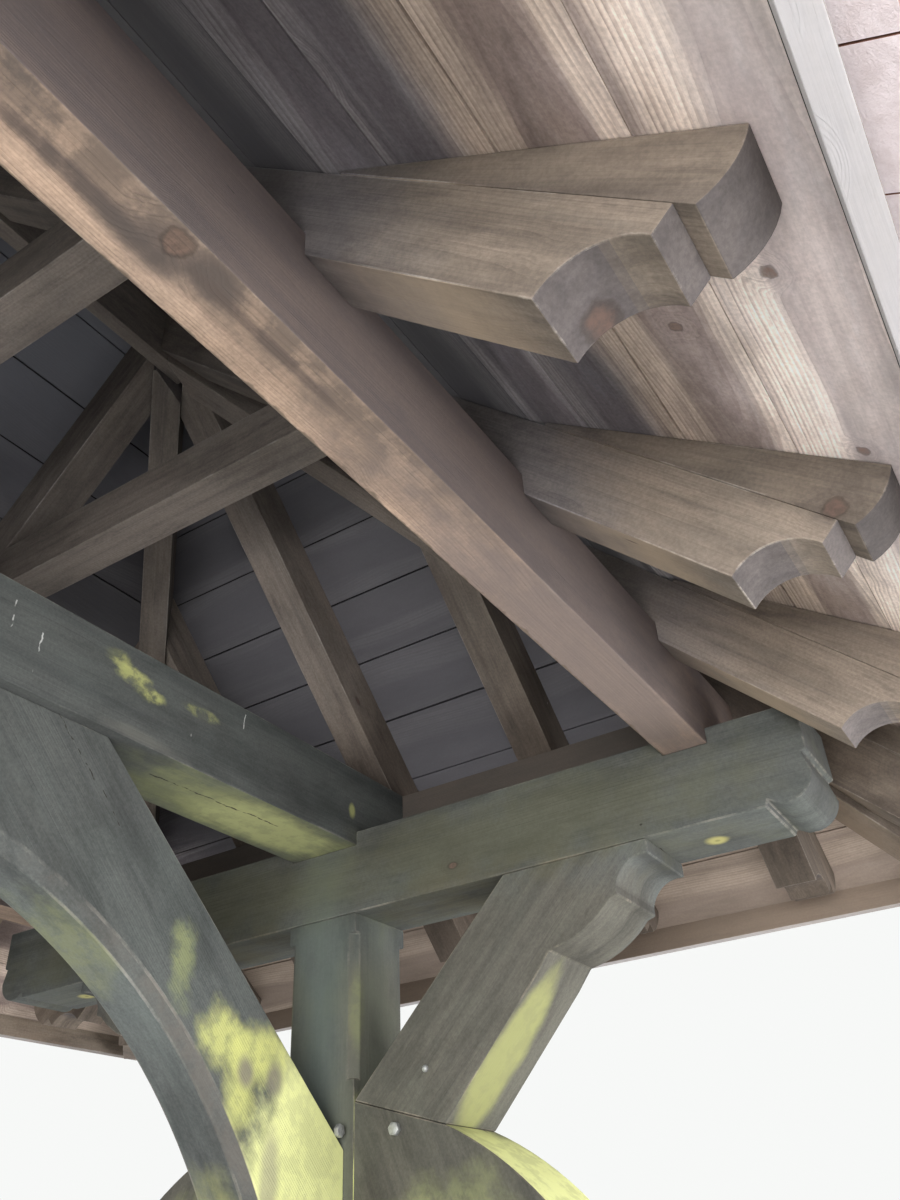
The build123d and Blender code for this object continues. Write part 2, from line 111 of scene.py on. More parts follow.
class Shader:
    """Writes the node tree of one material."""

    def __init__(self, name: str) -> None:
        """Starts a material with a plain surface shader.

        Args:
            name: The material's name.
        """
        self.material = bpy.data.materials.new(name)
        self.material.use_nodes = True
        self.tree = self.material.node_tree
        self.tree.nodes.clear()
        self.surface = self.node("ShaderNodeBsdfPrincipled")
        output = self.node("ShaderNodeOutputMaterial")
        self.feed(output.inputs["Surface"], self.surface.outputs["BSDF"])

    def node(self, kind: str, **settings: object) -> bpy.types.Node:
        """Adds one node.

        Args:
            kind: The node's type name.
            **settings: Its own properties.

        Returns:
            The new node.
        """
        made = self.tree.nodes.new(kind)
        for key, value in settings.items():
            setattr(made, key, value)
        return made

    def feed(self, socket: Socket, value: object) -> None:
        """Links a socket, or sets its constant.

        Args:
            socket: The input to feed.
            value: Another socket, a number or a tuple.
        """
        if isinstance(value, Socket):
            self.tree.links.new(value, socket)
        elif isinstance(value, tuple) and socket.type == "RGBA":
            socket.default_value = (*value, 1.0)
        else:
            socket.default_value = value

    def attribute(self, name: str, output: str) -> Socket:
        """Reads a mesh attribute.

        Args:
            name: The attribute's name.
            output: Which of the node's outputs to read.

        Returns:
            That output.
        """
        return self.node("ShaderNodeAttribute", attribute_name=name).outputs[output]

    def place(self) -> Socket:
        """Object coordinates, which are the object's own place in metres."""
        return self.node("ShaderNodeTexCoord").outputs["Object"]

    def facing(self) -> Socket:
        """The surface's own normal."""
        return self.node("ShaderNodeTexCoord").outputs["Normal"]

    def math(self, operation: str, *values: object) -> Socket:
        """Works on numbers.

        Args:
            operation: The Math node's operation.
            *values: Its inputs, in order.

        Returns:
            The result.
        """
        made = self.node("ShaderNodeMath", operation=operation)
        for socket, value in zip(made.inputs, values):
            self.feed(socket, value)
        return made.outputs[0]

    def vector(self, operation: str, *values: object) -> Socket:
        """Works on vectors.

        Args:
            operation: The Vector Math node's operation.
            *values: Its inputs, in order.

        Returns:
            The resulting vector, or number where the operation gives one.
        """
        made = self.node("ShaderNodeVectorMath", operation=operation)
        for socket, value in zip(made.inputs, values):
            self.feed(socket, value)
        single = operation in ("LENGTH", "DISTANCE", "DOT_PRODUCT")
        return made.outputs["Value" if single else "Vector"]

    def product(self, *values: object) -> Socket:
        """Multiplies numbers."""
        return functools.reduce(lambda one, other: self.math("MULTIPLY", one, other), values)

    def part(self, vector: Socket, axis: int) -> Socket:
        """One of a vector's three parts."""
        return self.vector("DOT_PRODUCT", vector, tuple(float(i == axis) for i in range(3)))

    def noise(self, vector: Socket, texture: Texture, output: str = "Fac") -> Socket:
        """Fractal noise.

        Args:
            vector: Where to read it.
            texture: Its settings.
            output: "Fac" or "Color".

        Returns:
            The chosen output.
        """
        if texture.grain:
            along, across = texture.grain
            vector = self.vector("MULTIPLY", vector, (along, across, across))
        made = self.node("ShaderNodeTexNoise")
        self.feed(made.inputs["Vector"], vector)
        made.inputs["Scale"].default_value = texture.scale
        made.inputs["Detail"].default_value = texture.octaves
        made.inputs["Roughness"].default_value = texture.roughness
        return made.outputs[output]

    def stray(self, vector: Socket, texture: Texture) -> Socket:
        """Vector noise around zero."""
        return self.vector("SUBTRACT", self.noise(vector, texture, "Color"), (0.5, 0.5, 0.5))

    def shake(self, place: Socket, texture: Texture, reach: float) -> Socket:
        """Moves a place about.

        Args:
            place: The place.
            texture: The noise that moves it.
            reach: Twice how far it may move.

        Returns:
            The moved place.
        """
        moved = self.vector("MULTIPLY", self.stray(place, texture), (reach, reach, reach))
        return self.vector("ADD", place, moved)

    def cells(self, vector: Socket, scale: float) -> tuple[Socket, Socket]:
        """Scattered points.

        Args:
            vector: Where to read them.
            scale: Points per metre of that vector.

        Returns:
            The distance to the nearest point, and that point's own random colour.
        """
        made = self.node("ShaderNodeTexVoronoi")
        self.feed(made.inputs["Vector"], vector)
        made.inputs["Scale"].default_value = scale
        return made.outputs["Distance"], made.outputs["Color"]

    def ease(self, value: Socket, low: float, high: float,
             to_low: float = 0.0, to_high: float = 1.0) -> Socket:
        """Smooth step from one range to another.

        Args:
            value: What to map.
            low: Where the step starts.
            high: Where it ends.
            to_low: The result before it.
            to_high: The result after it.

        Returns:
            The mapped number.
        """
        made = self.node("ShaderNodeMapRange", interpolation_type="SMOOTHSTEP")
        for socket, number in zip(made.inputs, (value, low, high, to_low, to_high)):
            self.feed(socket, number)
        return made.outputs[0]

    def mix(self, share: object, below: object, above: object,
            blend: str = "MIX") -> Socket:
        """Mixes two colours.

        Args:
            share: How much of the second colour shows.
            below: The first colour.
            above: The second.
            blend: The blend mode.

        Returns:
            The mixed colour.
        """
        made = self.node("ShaderNodeMix", data_type="RGBA", blend_type=blend,
                         clamp_result=True)
        self.feed(made.inputs[0], share)
        self.feed(made.inputs[6], below)
        self.feed(made.inputs[7], above)
        return made.outputs[2]

    def shade(self, colour: Socket, value: Socket) -> Socket:
        """Multiplies a colour by a number.

        Args:
            colour: The colour.
            value: The number.

        Returns:
            The lighter or darker colour.
        """
        made = self.node("ShaderNodeCombineColor")
        for socket in made.inputs:
            self.feed(socket, value)
        return self.mix(1.0, colour, made.outputs[0], "MULTIPLY")

    def bump(self, height: Socket, distance: float) -> None:
        """Gives the surface relief.

        Args:
            height: Relative height, from 0 to 1.
            distance: What 1 stands for, in metres.
        """
        made = self.node("ShaderNodeBump")
        self.feed(made.inputs["Height"], height)
        made.inputs["Distance"].default_value = distance
        self.feed(self.surface.inputs["Normal"], made.outputs["Normal"])


@dataclass(frozen=True)
class Patch:
    """A ragged patch of another colour: algae, soot, damp, bleached wood, painted shade or painted
    light.

    Attributes:
        colour: Its colour.
        centre: Its middle.
        reach: How far it spreads along each axis.
        faces: Which way the surfaces that it likes point, or nothing for all.
        strength: How much of it covers.
        ragged: How far its edge strays.
        mirrored: Whether all like corners of the gate have it.
        grit: How much the wood shows through in specks.
        blend: How it lies on what is under it.
        rim: Where its full strength ends, in reaches from the middle.
        square: Whether it fills a box, not an egg.
    """

    colour: Colour
    centre: Place
    reach: Place
    faces: Place = (0.0, 0.0, 0.0)
    strength: float = 0.9
    ragged: float = 1.6
    mirrored: bool = True
    grit: float = 0.0
    blend: str = "MIX"
    rim: float = 0.45
    square: bool = False

    # In reaches, where it is gone; the noise that lets wood show; how square it must be faced.
    GONE = 1.30
    SPECKLED = (0.40, 0.56)
    TURNED = (0.72, 0.90)

    def lay(self, s: Shader, colour: Socket, place: Socket, edge: Socket,
            specks: Socket) -> Socket:
        """Lays the patch over a colour.

        Args:
            s: The shader being written.
            colour: What is under the patch.
            place: Object coordinates.
            edge: A noise around zero that frays the edge.
            specks: A fine noise.

        Returns:
            The colour with the patch on it.
        """
        where = s.vector("ABSOLUTE", place) if self.mirrored else place
        arm = s.vector("SUBTRACT", where, self.centre)
        arm = s.vector("MULTIPLY", arm, tuple(1 / side for side in self.reach))
        if self.square:
            away = s.math("SQRT", s.vector("LENGTH", s.vector("MULTIPLY", arm, arm)))
        else:
            away = s.vector("LENGTH", arm)
        away = s.math("MULTIPLY_ADD", edge, self.ragged, away)
        share = s.ease(away, self.GONE, self.rim, 0.0, self.strength)
        if self.grit:
            share = s.product(share, s.ease(specks, *self.SPECKLED, 1 - self.grit, 1.0))
        if any(self.faces):
            facing = s.facing()
            level = s.vector("ABSOLUTE", facing) if self.mirrored else facing
            level = s.vector("DOT_PRODUCT", level, (*self.faces[:2], 0.0))
            upright = s.vector("DOT_PRODUCT", facing, (0.0, 0.0, self.faces[2]))
            share = s.product(share, s.ease(s.math("ADD", level, upright), *self.TURNED))
        return s.mix(share, colour, self.colour, self.blend)


@dataclass(frozen=True)
class Line:
    """A thin line on a surface: a shake in the wood or a strand of cobweb.

    Attributes:
        start: One end.
        end: The other end.
        width: Its width in metres.
        colour: Its colour.
    """

    start: Place
    end: Place
    width: float = 0.004
    colour: Colour = (0.030, 0.024, 0.020)

    COVER = 0.9
    EDGE = 0.6
    CORE = 0.2

    def draw(self, s: Shader, colour: Socket, place: Socket) -> Socket:
        """Draws the line over a colour.

        Args:
            s: The shader being written.
            colour: What is under the line.
            place: Object coordinates, a little shaken.

        Returns:
            The colour with the line on it.
        """
        run = Vector(self.end) - Vector(self.start)
        arm = s.vector("SUBTRACT", place, self.start)
        share = s.product(s.vector("DOT_PRODUCT", arm, run[:]), 1 / run.length_squared)
        share = s.math("MINIMUM", s.math("MAXIMUM", share, 0.0), 1.0)
        off = s.vector("LENGTH", s.vector("SUBTRACT", arm, s.vector("MULTIPLY", share, run[:])))
        share = s.ease(off, self.EDGE * self.width, self.CORE * self.width, 0.0, self.COVER)
        return s.mix(share, colour, self.colour)


@dataclass(frozen=True)
class Knot:
    """A knot at a known place.

    Attributes:
        centre: Its middle on the surface.
        radius: Its radius in metres.
    """

    centre: Place
    radius: float


@dataclass(frozen=True)
class WoodFinish:
    """Sawn, stained and weathered timber.

    Attributes:
        name: The material's name.
        early: Colour between the growth rings.
        late: Colour of the ring lines.
        stain: Colour of the darker streaks.
        film: Colour of the weathered film and dust.
        bare: Colour of worn arrises.
        ring: Width of a growth ring.
        contrast: How strongly the rings show.
        belts: How strongly broad dark belts of rings show.
        heartwood: How strongly a dark band shows over the heart.
        wander: How far the heart of the tree wanders.
        streaks: How strongly the dark streaks show.
        weathering: Share of the surface under the film.
        scuffing: How strongly the scuffs along the grain show.
        knots: Share of possible knots that are there.
        relief: Depth of the raised grain.
        end: Colour of sawn ends.
        heart: Colour of the knots.
        patches: Patches of other colours, some of them painted shade and painted light, the lowest
            first.
        lines: Shakes and strands of cobweb.
        marked: Knots at known places.
    """

    name: str
    early: Colour
    late: Colour
    stain: Colour
    film: Colour
    bare: Colour
    ring: float = 0.005
    contrast: float = 0.3
    belts: float = 0.4
    heartwood: float = 0.0
    wander: float = 0.02
    streaks: float = 0.55
    weathering: float = 0.4
    scuffing: float = 0.55
    knots: float = 0.05
    relief: float = 0.0006
    end: Colour = (0.100, 0.085, 0.075)
    heart: Colour = (0.160, 0.105, 0.080)
    patches: tuple[Patch, ...] = ()
    lines: tuple[Line, ...] = ()
    marked: tuple[Knot, ...] = ()

    # How the parts of the pattern are drawn.
    KNOT_PITCH = 7.0
    KNOT_RIM = (0.045, 0.030, 0.024)
    WEB = (0.60, 0.60, 0.57)
    HEART_WIDTH = (0.062, 0.036)
    SHAKEN = 0.020
    TORN = 0.015
    WAVES = 1.8
    SWIRLS = 5.0
    FRAYED = 0.45
    ROUGHNESS = (0.88, 0.74)
    SPECULAR = 0.25

    # The noises that the pattern is made of.
    DRIFT = Texture(1.0, 2.0, grain=(0.8, 0.0))
    WARP = Texture(26.0)
    TEAR = Texture(55.0)
    CLOUD = Texture(grain=(1.4, 14.0))
    RING = Texture(0.31, 2.0)
    BELT = Texture(0.085, 3.0, 0.6)
    FIBRE = Texture(1.0, 2.0, grain=(5.0, 420.0))
    STREAK = Texture(1.0, 4.0, 0.6, (0.7, 24.0))
    WEATHER = Texture(3.1, 8.0, 0.68)
    SCUFF = Texture(1.0, 7.0, 0.74, (6.5, 30.0))
    DUST = Texture(170.0, 2.0, 0.7)
    SMUDGE = Texture(1.0, 6.0, 0.66, (3.0, 9.0))
    FRAY = Texture(1.0, 5.0, 0.62, (7.0, 36.0))
    COVER = Texture(9.0, 6.0, 0.62)
    SPECKS = Texture(21.0, 6.0, 0.66)
    GROWN = Texture(95.0, 5.0, 0.7)

    def material(self) -> bpy.types.Material:
        """Writes the material.

        Returns:
            The finished material, which reads the piece's grain, mark and tone.
        """
        s = Shader(self.name)
        grain, mark = (s.attribute(name, "Vector") for name in ("grain", "mark"))
        worn, sawn = s.part(mark, 0), s.part(mark, 1)
        place = s.place()
        across = self.across(s, grain)
        knot, core, swirl = self.knotting(s, grain, across, s.shake(place, self.TEAR, self.TORN))
        cloud = s.noise(grain, self.CLOUD)
        phase = s.product(s.vector("LENGTH", across), 1 / self.ring)
        phase = s.math("MULTIPLY_ADD", cloud, self.WAVES, phase)
        phase = s.math("MULTIPLY_ADD", swirl, self.SWIRLS, phase)
        saw = s.math("FRACT", phase)
        rings = s.product(s.ease(saw, 0.15, 0.85), s.ease(saw, 1.0, 0.93),
                          s.ease(s.noise(phase, self.RING), 0.34, 0.66, 0.12, 1.0),
                          s.ease(sawn, 0.0, 1.0, 1.0, 0.15))
        belt = s.ease(s.noise(phase, self.BELT), 0.44, 0.62, 0.0, self.belts)
        fibre = s.noise(grain, self.FIBRE)
        cloudy = s.noise(place, self.WEATHER)
        scuff = s.noise(grain, self.SCUFF)

        colour = s.mix(s.product(rings, self.contrast), self.early, self.late)
        colour = s.mix(belt, colour, self.stain)
        if self.heartwood:
            aside = s.math("ABSOLUTE", s.part(across, 1))
            aside = s.math("MULTIPLY_ADD", s.math("SUBTRACT", cloud, 0.5), 0.07, aside)
            heart = s.ease(aside, *self.HEART_WIDTH, 0.0, self.heartwood)
            colour = s.mix(heart, colour, self.stain)
        for pattern, low, high, most, tint in (
                (s.noise(grain, self.STREAK), 0.46, 0.70, self.streaks, self.stain),
                (cloudy, 0.38, 0.66, self.weathering, self.film),
                (scuff, 0.50, 0.72, self.scuffing, self.film),
                (scuff, 0.49, 0.32, self.scuffing, self.stain),
                (fibre, 0.35, 0.75, 0.22, self.stain)):
            colour = s.mix(s.ease(pattern, low, high, 0.0, most), colour, tint)
        rubbed = s.ease(s.math("ADD", scuff, cloudy), 0.92, 1.20, 0.0, 0.70)
        for share, tint in ((s.product(swirl, 0.45), self.stain), (s.product(sawn, 0.78), self.end),
                            (s.product(worn, rubbed), self.bare)):
            colour = s.mix(share, colour, tint)
        colour = s.shade(colour, s.attribute("tone", "Fac"))
        colour = s.shade(colour, s.ease(s.noise(place, self.DUST), 0.30, 0.70, 0.90, 1.10))
        colour = s.shade(colour, s.ease(s.noise(grain, self.SMUDGE), 0.34, 0.60, 0.74, 1.10))
        colour = self.overlay(s, colour, grain, place)

        colour = s.mix(s.product(knot, 0.50), colour, self.KNOT_RIM)
        grown = s.ease(s.noise(place, self.GROWN), 0.36, 0.62, 0.30, 0.90)
        colour = s.mix(s.product(core, grown), colour, self.heart)
        shaken = s.shake(place, self.WARP, self.SHAKEN)
        for line in self.lines:
            colour = line.draw(s, colour, shaken)
        colour = self.webs(s, colour, place)

        s.feed(s.surface.inputs["Base Color"], colour)
        s.feed(s.surface.inputs["Roughness"], s.ease(rings, 0.0, 1.0, *self.ROUGHNESS))
        s.feed(s.surface.inputs["Specular IOR Level"], self.SPECULAR)
        height = s.math("MULTIPLY_ADD", rings, 0.4, s.product(fibre, 0.6))
        s.bump(s.math("MULTIPLY_ADD", scuff, 0.9, height), self.relief)
        return s.material

    def overlay(self, s: Shader, colour: Socket, grain: Socket, place: Socket) -> Socket:
        """Lays the patches, with edges that fray along the grain.

        Args:
            s: The shader being written.
            colour: The wood's colour.
            grain: The wood's own coordinates.
            place: Object coordinates.

        Returns:
            The colour with the patches on it.
        """
        edge = s.math("MULTIPLY_ADD", s.noise(grain, self.FRAY), self.FRAYED,
                      s.noise(place, self.COVER))
        edge = s.math("SUBTRACT", edge, (1 + self.FRAYED) / 2)
        specks = s.noise(place, self.SPECKS)
        for patch in self.patches:
            colour = patch.lay(s, colour, place, edge, specks)
        return colour

    def across(self, s: Shader, grain: Socket) -> Socket:
        """Where a point lies across the grain.

        Args:
            s: The shader being written.
            grain: The wood's own coordinates.

        Returns:
            Its place from the heart of the tree, which wanders along the log.
        """
        heart = s.vector("MULTIPLY", s.stray(grain, self.DRIFT),
                         (0.0, 2 * self.wander, 2 * self.wander))
        return s.vector("MULTIPLY", s.vector("ADD", grain, heart), (0.0, 1.0, 1.0))

    def knotting(self, s: Shader, grain: Socket, across: Socket,
                 place: Socket) -> tuple[Socket, Socket, Socket]:
        """Finds the knots.

        Args:
            s: The shader being written.
            grain: The wood's own coordinates.
            across: The place across the grain.
            place: Object coordinates, shaken.

        Returns:
            The shares of the dark knot, of its redder core, and of the grain that
            turns round it.
        """
        spoke = s.vector("NORMALIZE", across)
        pitch = s.vector("MULTIPLY", grain, (self.KNOT_PITCH, 0.0, 0.0))
        far, lot = s.cells(s.vector("ADD", spoke, pitch), 1.0)
        chosen = s.math("LESS_THAN", s.part(lot, 0), self.knots)
        found = [s.product(chosen, s.ease(far, *rim)) for rim in ((0.13, 0.08), (0.09, 0.05),
                                                                  (0.42, 0.05))]
        for mark in self.marked:
            away = s.vector("DISTANCE", place, mark.centre)
            for index, rim in enumerate(((1.0, 0.8), (0.82, 0.55), (3.4, 0.4))):
                share = s.ease(away, *(mark.radius * part for part in rim))
                found[index] = s.math("MAXIMUM", found[index], share)
        return tuple(found)

    def webs(self, s: Shader, colour: Socket, place: Socket) -> Socket:
        """Flecks the wood with scraps of cobweb.

        Args:
            s: The shader being written.
            colour: The wood's colour.
            place: Object coordinates.

        Returns:
            The flecked colour.
        """
        near, lot = s.cells(s.vector("MULTIPLY", place, (1.0, 1.0, 0.45)), 9.0)
        few = s.math("LESS_THAN", s.part(lot, 1), 0.13)
        return s.mix(s.product(few, s.ease(near, 0.028, 0.012), 0.6), colour, self.WEB)


@dataclass(frozen=True)
class ClayFinish:
    """Plain clay tile, with weather on its upper side.

    Attributes:
        name: The material's name.
        clay: The fired body.
        burnt: The darker tiles.
        soot: The grime on the weathered side.
        growth: The moss and crust there.
        lichen: The pale spots there.
        bloom_and_light: The pale efflorescence on sheltered undersides, with painted light from
            below.
    """

    name: str
    clay: Colour
    burnt: Colour
    soot: Colour
    growth: Colour
    lichen: Colour
    bloom_and_light: Colour

    GRIT = Texture(260.0, 4.0, 0.7)
    MOTTLE = Texture(24.0, 5.0, 0.65)
    GRIME = Texture(2.3, 6.0, 0.62)
    CRUST = Texture(13.0, 7.0, 0.72)
    SPOTS = 22.0
    RELIEF = 0.0012

    def material(self) -> bpy.types.Material:
        """Writes the material.

        Returns:
            The finished material.
        """
        s = Shader(self.name)
        place = s.place()
        colour = s.mix(s.attribute("tone", "Fac"), self.clay, self.burnt)
        grit, mottle = s.noise(place, self.GRIT), s.noise(place, self.MOTTLE)
        up = s.part(s.facing(), 2)
        top = s.ease(up, 0.2, 0.6)
        spot, lot = s.cells(place, self.SPOTS)
        few = s.math("LESS_THAN", s.part(lot, 0), 0.13)
        sooty = s.ease(s.noise(place, self.GRIME), 0.40, 0.66, 0.15, 0.75)
        crusty = s.ease(s.noise(place, self.CRUST), 0.49, 0.62)
        for share, tint in (
                (s.ease(mottle, 0.42, 0.72, 0.0, 0.45), self.burnt),
                (s.product(top, sooty), self.soot),
                (s.product(top, crusty, 0.70), self.growth),
                (s.product(few, top, s.ease(spot, 0.40, 0.22), 0.55), self.lichen),
                # Pale efflorescence on the undersides, with painted light from below.
                (s.product(s.ease(up, -0.4, -0.75), s.ease(mottle, 0.66, 0.40, 0.80, 0.97)),
                 self.bloom_and_light)):
            colour = s.mix(share, colour, tint)
        s.feed(s.surface.inputs["Base Color"], colour)
        s.feed(s.surface.inputs["Roughness"], s.ease(grit, 0.3, 0.7, 0.78, 0.92))
        s.bump(s.math("ADD", grit, mottle), self.RELIEF)
        return s.material


@dataclass(frozen=True)
class PlainFinish:
    """One colour with a fine mottle, for metal, mortar and felt.

    Attributes:
        name: The material's name.
        colour: Its colour.
        worn: The mottle's second colour.
        metallic: 1 for bare metal.
        roughness: Its roughness.
        scale: Mottles per metre.
    """

    name: str
    colour: Colour
    worn: Colour
    metallic: float
    roughness: float
    scale: float

    RELIEF = 0.0006

    def material(self) -> bpy.types.Material:
        """Writes the material.

        Returns:
            The finished material.
        """
        s = Shader(self.name)
        mottle = s.noise(s.place(), Texture(self.scale, 5.0, 0.65))
        colour = s.mix(s.ease(mottle, 0.4, 0.65), self.colour, self.worn)
        for name, value in (("Base Color", colour), ("Metallic", self.metallic),
                            ("Roughness", self.roughness)):
            s.feed(s.surface.inputs[name], value)
        s.bump(mottle, self.RELIEF)
        return s.material


class Shape:
    """One solid being modelled, with the grain and tone that its finish reads."""

    RIPPLES = 2.7
    SIDE_GRAIN = 0.4
    END_GRAIN = 0.65

    def __init__(self) -> None:
        """Starts an empty mesh with its layers."""
        self.bm = bmesh.new()
        self.grain = self.bm.verts.layers.float_vector.new("grain")
        self.tone = self.bm.verts.layers.float.new("tone")
        self.mark = self.bm.loops.layers.float_vector.new("mark")

    @classmethod
    def block(cls, low: Vector, high: Vector) -> "Shape":
        """A rectangular block.

        Args:
            low: Its lowest corner.
            high: Its highest corner.

        Returns:
            The block.
        """
        made = cls()
        bmesh.ops.create_cube(made.bm, size=1.0)
        for vert in made.bm.verts:
            vert.co = Vector(a + (b - a) * (c + 0.5) for a, b, c in zip(low, high, vert.co))
        return made

    @classmethod
    def of_node(cls, node: str) -> "Shape":
        """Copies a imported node, with its corners welded and its flat faces whole.

        Args:
            node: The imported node.

        Returns:
            The copy.
        """
        made = cls()
        made.bm.from_mesh(frame["nodes"][node].data)
        bmesh.ops.remove_doubles(made.bm, verts=made.bm.verts, dist=WELD)
        bmesh.ops.dissolve_limit(made.bm, angle_limit=FLAT, verts=made.bm.verts,
                                 edges=made.bm.edges)
        return made

    def mesh(self, name: str) -> bpy.types.Mesh:
        """Ends the modelling.

        Args:
            name: The mesh's name.

        Returns:
            The finished mesh.
        """
        made = bpy.data.meshes.new(name)
        self.bm.to_mesh(made)
        self.bm.free()
        return made

    def everything(self) -> list:
        """All vertices, edges and faces."""
        return [*self.bm.verts, *self.bm.edges, *self.bm.faces]

    def trim(self, point: Vector, outward: Vector) -> None:
        """Cuts off what lies beyond a plane and closes the cut.

        Args:
            point: A point of the plane.
            outward: Its normal, towards what goes.
        """
        cut = bmesh.ops.bisect_plane(self.bm, geom=self.everything(), dist=1e-6,
                                     plane_co=point, plane_no=outward, clear_outer=True)
        rim = [e for e in cut["geom_cut"] if isinstance(e, bmesh.types.BMEdge)]
        if rim:
            bmesh.ops.holes_fill(self.bm, edges=rim, sides=0)

    def divide(self, along: Vector, step: float) -> None:
        """Adds rings of edges across a direction.

        Args:
            along: The direction.
            step: The distance between rings.
        """
        ends = [v.co.dot(along) for v in self.bm.verts]
        count = max(1, round((max(ends) - min(ends)) / step))
        for index in range(1, count):
            at = min(ends) + (max(ends) - min(ends)) * index / count
            bmesh.ops.bisect_plane(self.bm, geom=self.everything(), dist=WELD,
                                   plane_co=along * at, plane_no=along)

    def wear(self, arris: float, sharp: float = 28.0) -> None:
        """Rounds off the sharp arrises.

        Args:
            arris: Width of the rounding.
            sharp: The least turn that counts as sharp, in degrees.
        """
        edges = [e for e in self.bm.edges
                 if len(e.link_faces) == 2 and e.calc_face_angle(0.0) > math.radians(sharp)]
        made = bmesh.ops.bevel(self.bm, geom=edges, offset=arris, affect="EDGES", segments=2,
                               profile=0.5, material=-1, clamp_overlap=True)
        for loop in (loop for face in made["faces"] for loop in face.loops):
            loop[self.mark] = (1.0, 0.0, 0.0)

    def season(self, wave: float, low: Vector, high: Vector) -> None:
        """Lets the surface wander a little, within a box.

        Args:
            wave: How far it may wander.
            low: The box's lowest corner.
            high: Its highest corner.
        """
        for vert in self.bm.verts:
            moved = vert.co + noise.noise_vector(vert.co * self.RIPPLES) * wave
            vert.co = Vector(min(max(c, a), b) for c, a, b in zip(moved, low, high))

    def lay_grain(self, along: Vector, heart: Vector, start: float, tone: float,
                  verts: Iterable | None = None) -> None:
        """Writes the wood's own coordinates.

        Args:
            along: The grain's direction.
            heart: A point on the line of the tree's heart.
            start: Where along the log this solid was cut.
            tone: The solid's brightness.
            verts: The solid's vertices, if not all.
        """
        along = along.normalized()
        side = along.cross(Z)
        side = side.normalized() if side.length > 0.1 else X
        up = side.cross(along)
        self.bm.normal_update()
        for vert in self.bm.verts if verts is None else verts:
            arm = vert.co - heart
            vert[self.grain] = (start + arm.dot(along), arm.dot(side), arm.dot(up))
            vert[self.tone] = tone
            for loop in vert.link_loops:
                turn = abs(loop.face.normal.dot(along)) - self.SIDE_GRAIN
                sawn = min(max(turn / (self.END_GRAIN - self.SIDE_GRAIN), 0.0), 1.0)
                loop[self.mark] = (loop[self.mark].x, sawn, 0.0)

    def solids(self) -> list[list]:
        """Tells the solids of the mesh apart.

        Returns:
            The vertices of each separate solid.
        """
        found, seen = [], set()
        for first in self.bm.verts:
            if first in seen:
                continue
            group, waiting = [], [first]
            seen.add(first)
            while waiting:
                vert = waiting.pop()
                group.append(vert)
                for edge in vert.link_edges:
                    other = edge.other_vert(vert)
                    if other not in seen:
                        seen.add(other)
                        waiting.append(other)
            found.append(group)
        return found

    @staticmethod
    def middle(solid: list) -> Vector:
        """The mean of a solid's vertices."""
        return sum((v.co for v in solid), Vector()) / len(solid)

    def move(self, place: Matrix) -> "Shape":
        """Places the solid, and returns it."""
        self.bm.transform(place)
        return self


class Piece:
    """A finished object, gathered from one or more shapes."""

    def __init__(self, name: str) -> None:
        """Starts an empty piece."""
        self.name = name
        self.bm = bmesh.new()

    def add(self, shape: Shape) -> None:
        """Joins one shape to the piece, and frees it.

        Args:
            shape: The shape.
        """
        part = shape.mesh("part")
        self.bm.from_mesh(part)
        bpy.data.meshes.remove(part)

    def finish(self, material: bpy.types.Material, slot: Slot, *nodes: str,
               smooth: float = 35.0, worn: bool = False) -> bpy.types.Object:
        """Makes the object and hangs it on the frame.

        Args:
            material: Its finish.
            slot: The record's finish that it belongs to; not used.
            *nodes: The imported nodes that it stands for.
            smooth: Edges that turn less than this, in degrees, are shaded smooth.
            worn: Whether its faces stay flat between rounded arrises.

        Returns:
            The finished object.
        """
        bmesh.ops.recalc_face_normals(self.bm, faces=self.bm.faces)
        for face in self.bm.faces:
            face.smooth = True
        for edge in self.bm.edges:
            edge.smooth = edge.calc_face_angle(0.0) < math.radians(smooth)
        mesh = bpy.data.meshes.new(self.name)
        self.bm.to_mesh(mesh)
        self.bm.free()
        mesh.materials.append(material)
        made = bpy.data.objects.new(self.name, mesh)
        bpy.context.scene.collection.objects.link(made)
        if worn:
            made.modifiers.new("even_faces", "WEIGHTED_NORMAL").keep_sharp = True
        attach(made, BODY)
        if nodes:
            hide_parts(*nodes)
        LOG.info("%s: %d faces", self.name, len(mesh.polygons))
        return made


@dataclass
class Timbers:
    """Packed timbers, each given worn arrises, a wandering face and its grain.

    Attributes:
        material: Their finish.
        slot: The record's finish that they belong to.
        arris: Width of the worn arrises.
        wave: How far their faces wander.
        step: Distance between the rings of edges that let them wander.
        boxed: How near the tree's heart lies to a timber's middle.
        starts: Where along its log a timber may start.
        tones: How bright it may be.
        seed: Starts the random draws.
    """

    material: bpy.types.Material
    slot: Slot
    arris: float = 0.004
    wave: float = 0.0008
    step: float = 0.16
    boxed: float = 0.07
    starts: tuple[float, float] = (5.0, 60.0)
    tones: tuple[float, float] = (0.84, 1.12)
    seed: int = 1

    def build(self, node: str, along: Vector) -> bpy.types.Object:
        """Dresses one node.

        Args:
            node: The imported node.
            along: The direction of its grain.

        Returns:
            The piece that stands for it.
        """
        draw = random.Random(f"{self.seed} {node}")
        along = along.normalized()
        shape = Shape.of_node(node)
        shape.wear(self.arris)
        shape.divide(along, self.step)
        shape.season(self.wave, *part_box(node))
        for solid in shape.solids():
            aside = Vector(draw.uniform(-self.boxed, self.boxed) for _ in range(3))
            shape.lay_grain(along, shape.middle(solid) + aside, draw.uniform(*self.starts),
                            draw.uniform(*self.tones), solid)
        piece = Piece(f"{node}_worn")
        piece.add(shape)
        return piece.finish(self.material, self.slot, node, worn=True)


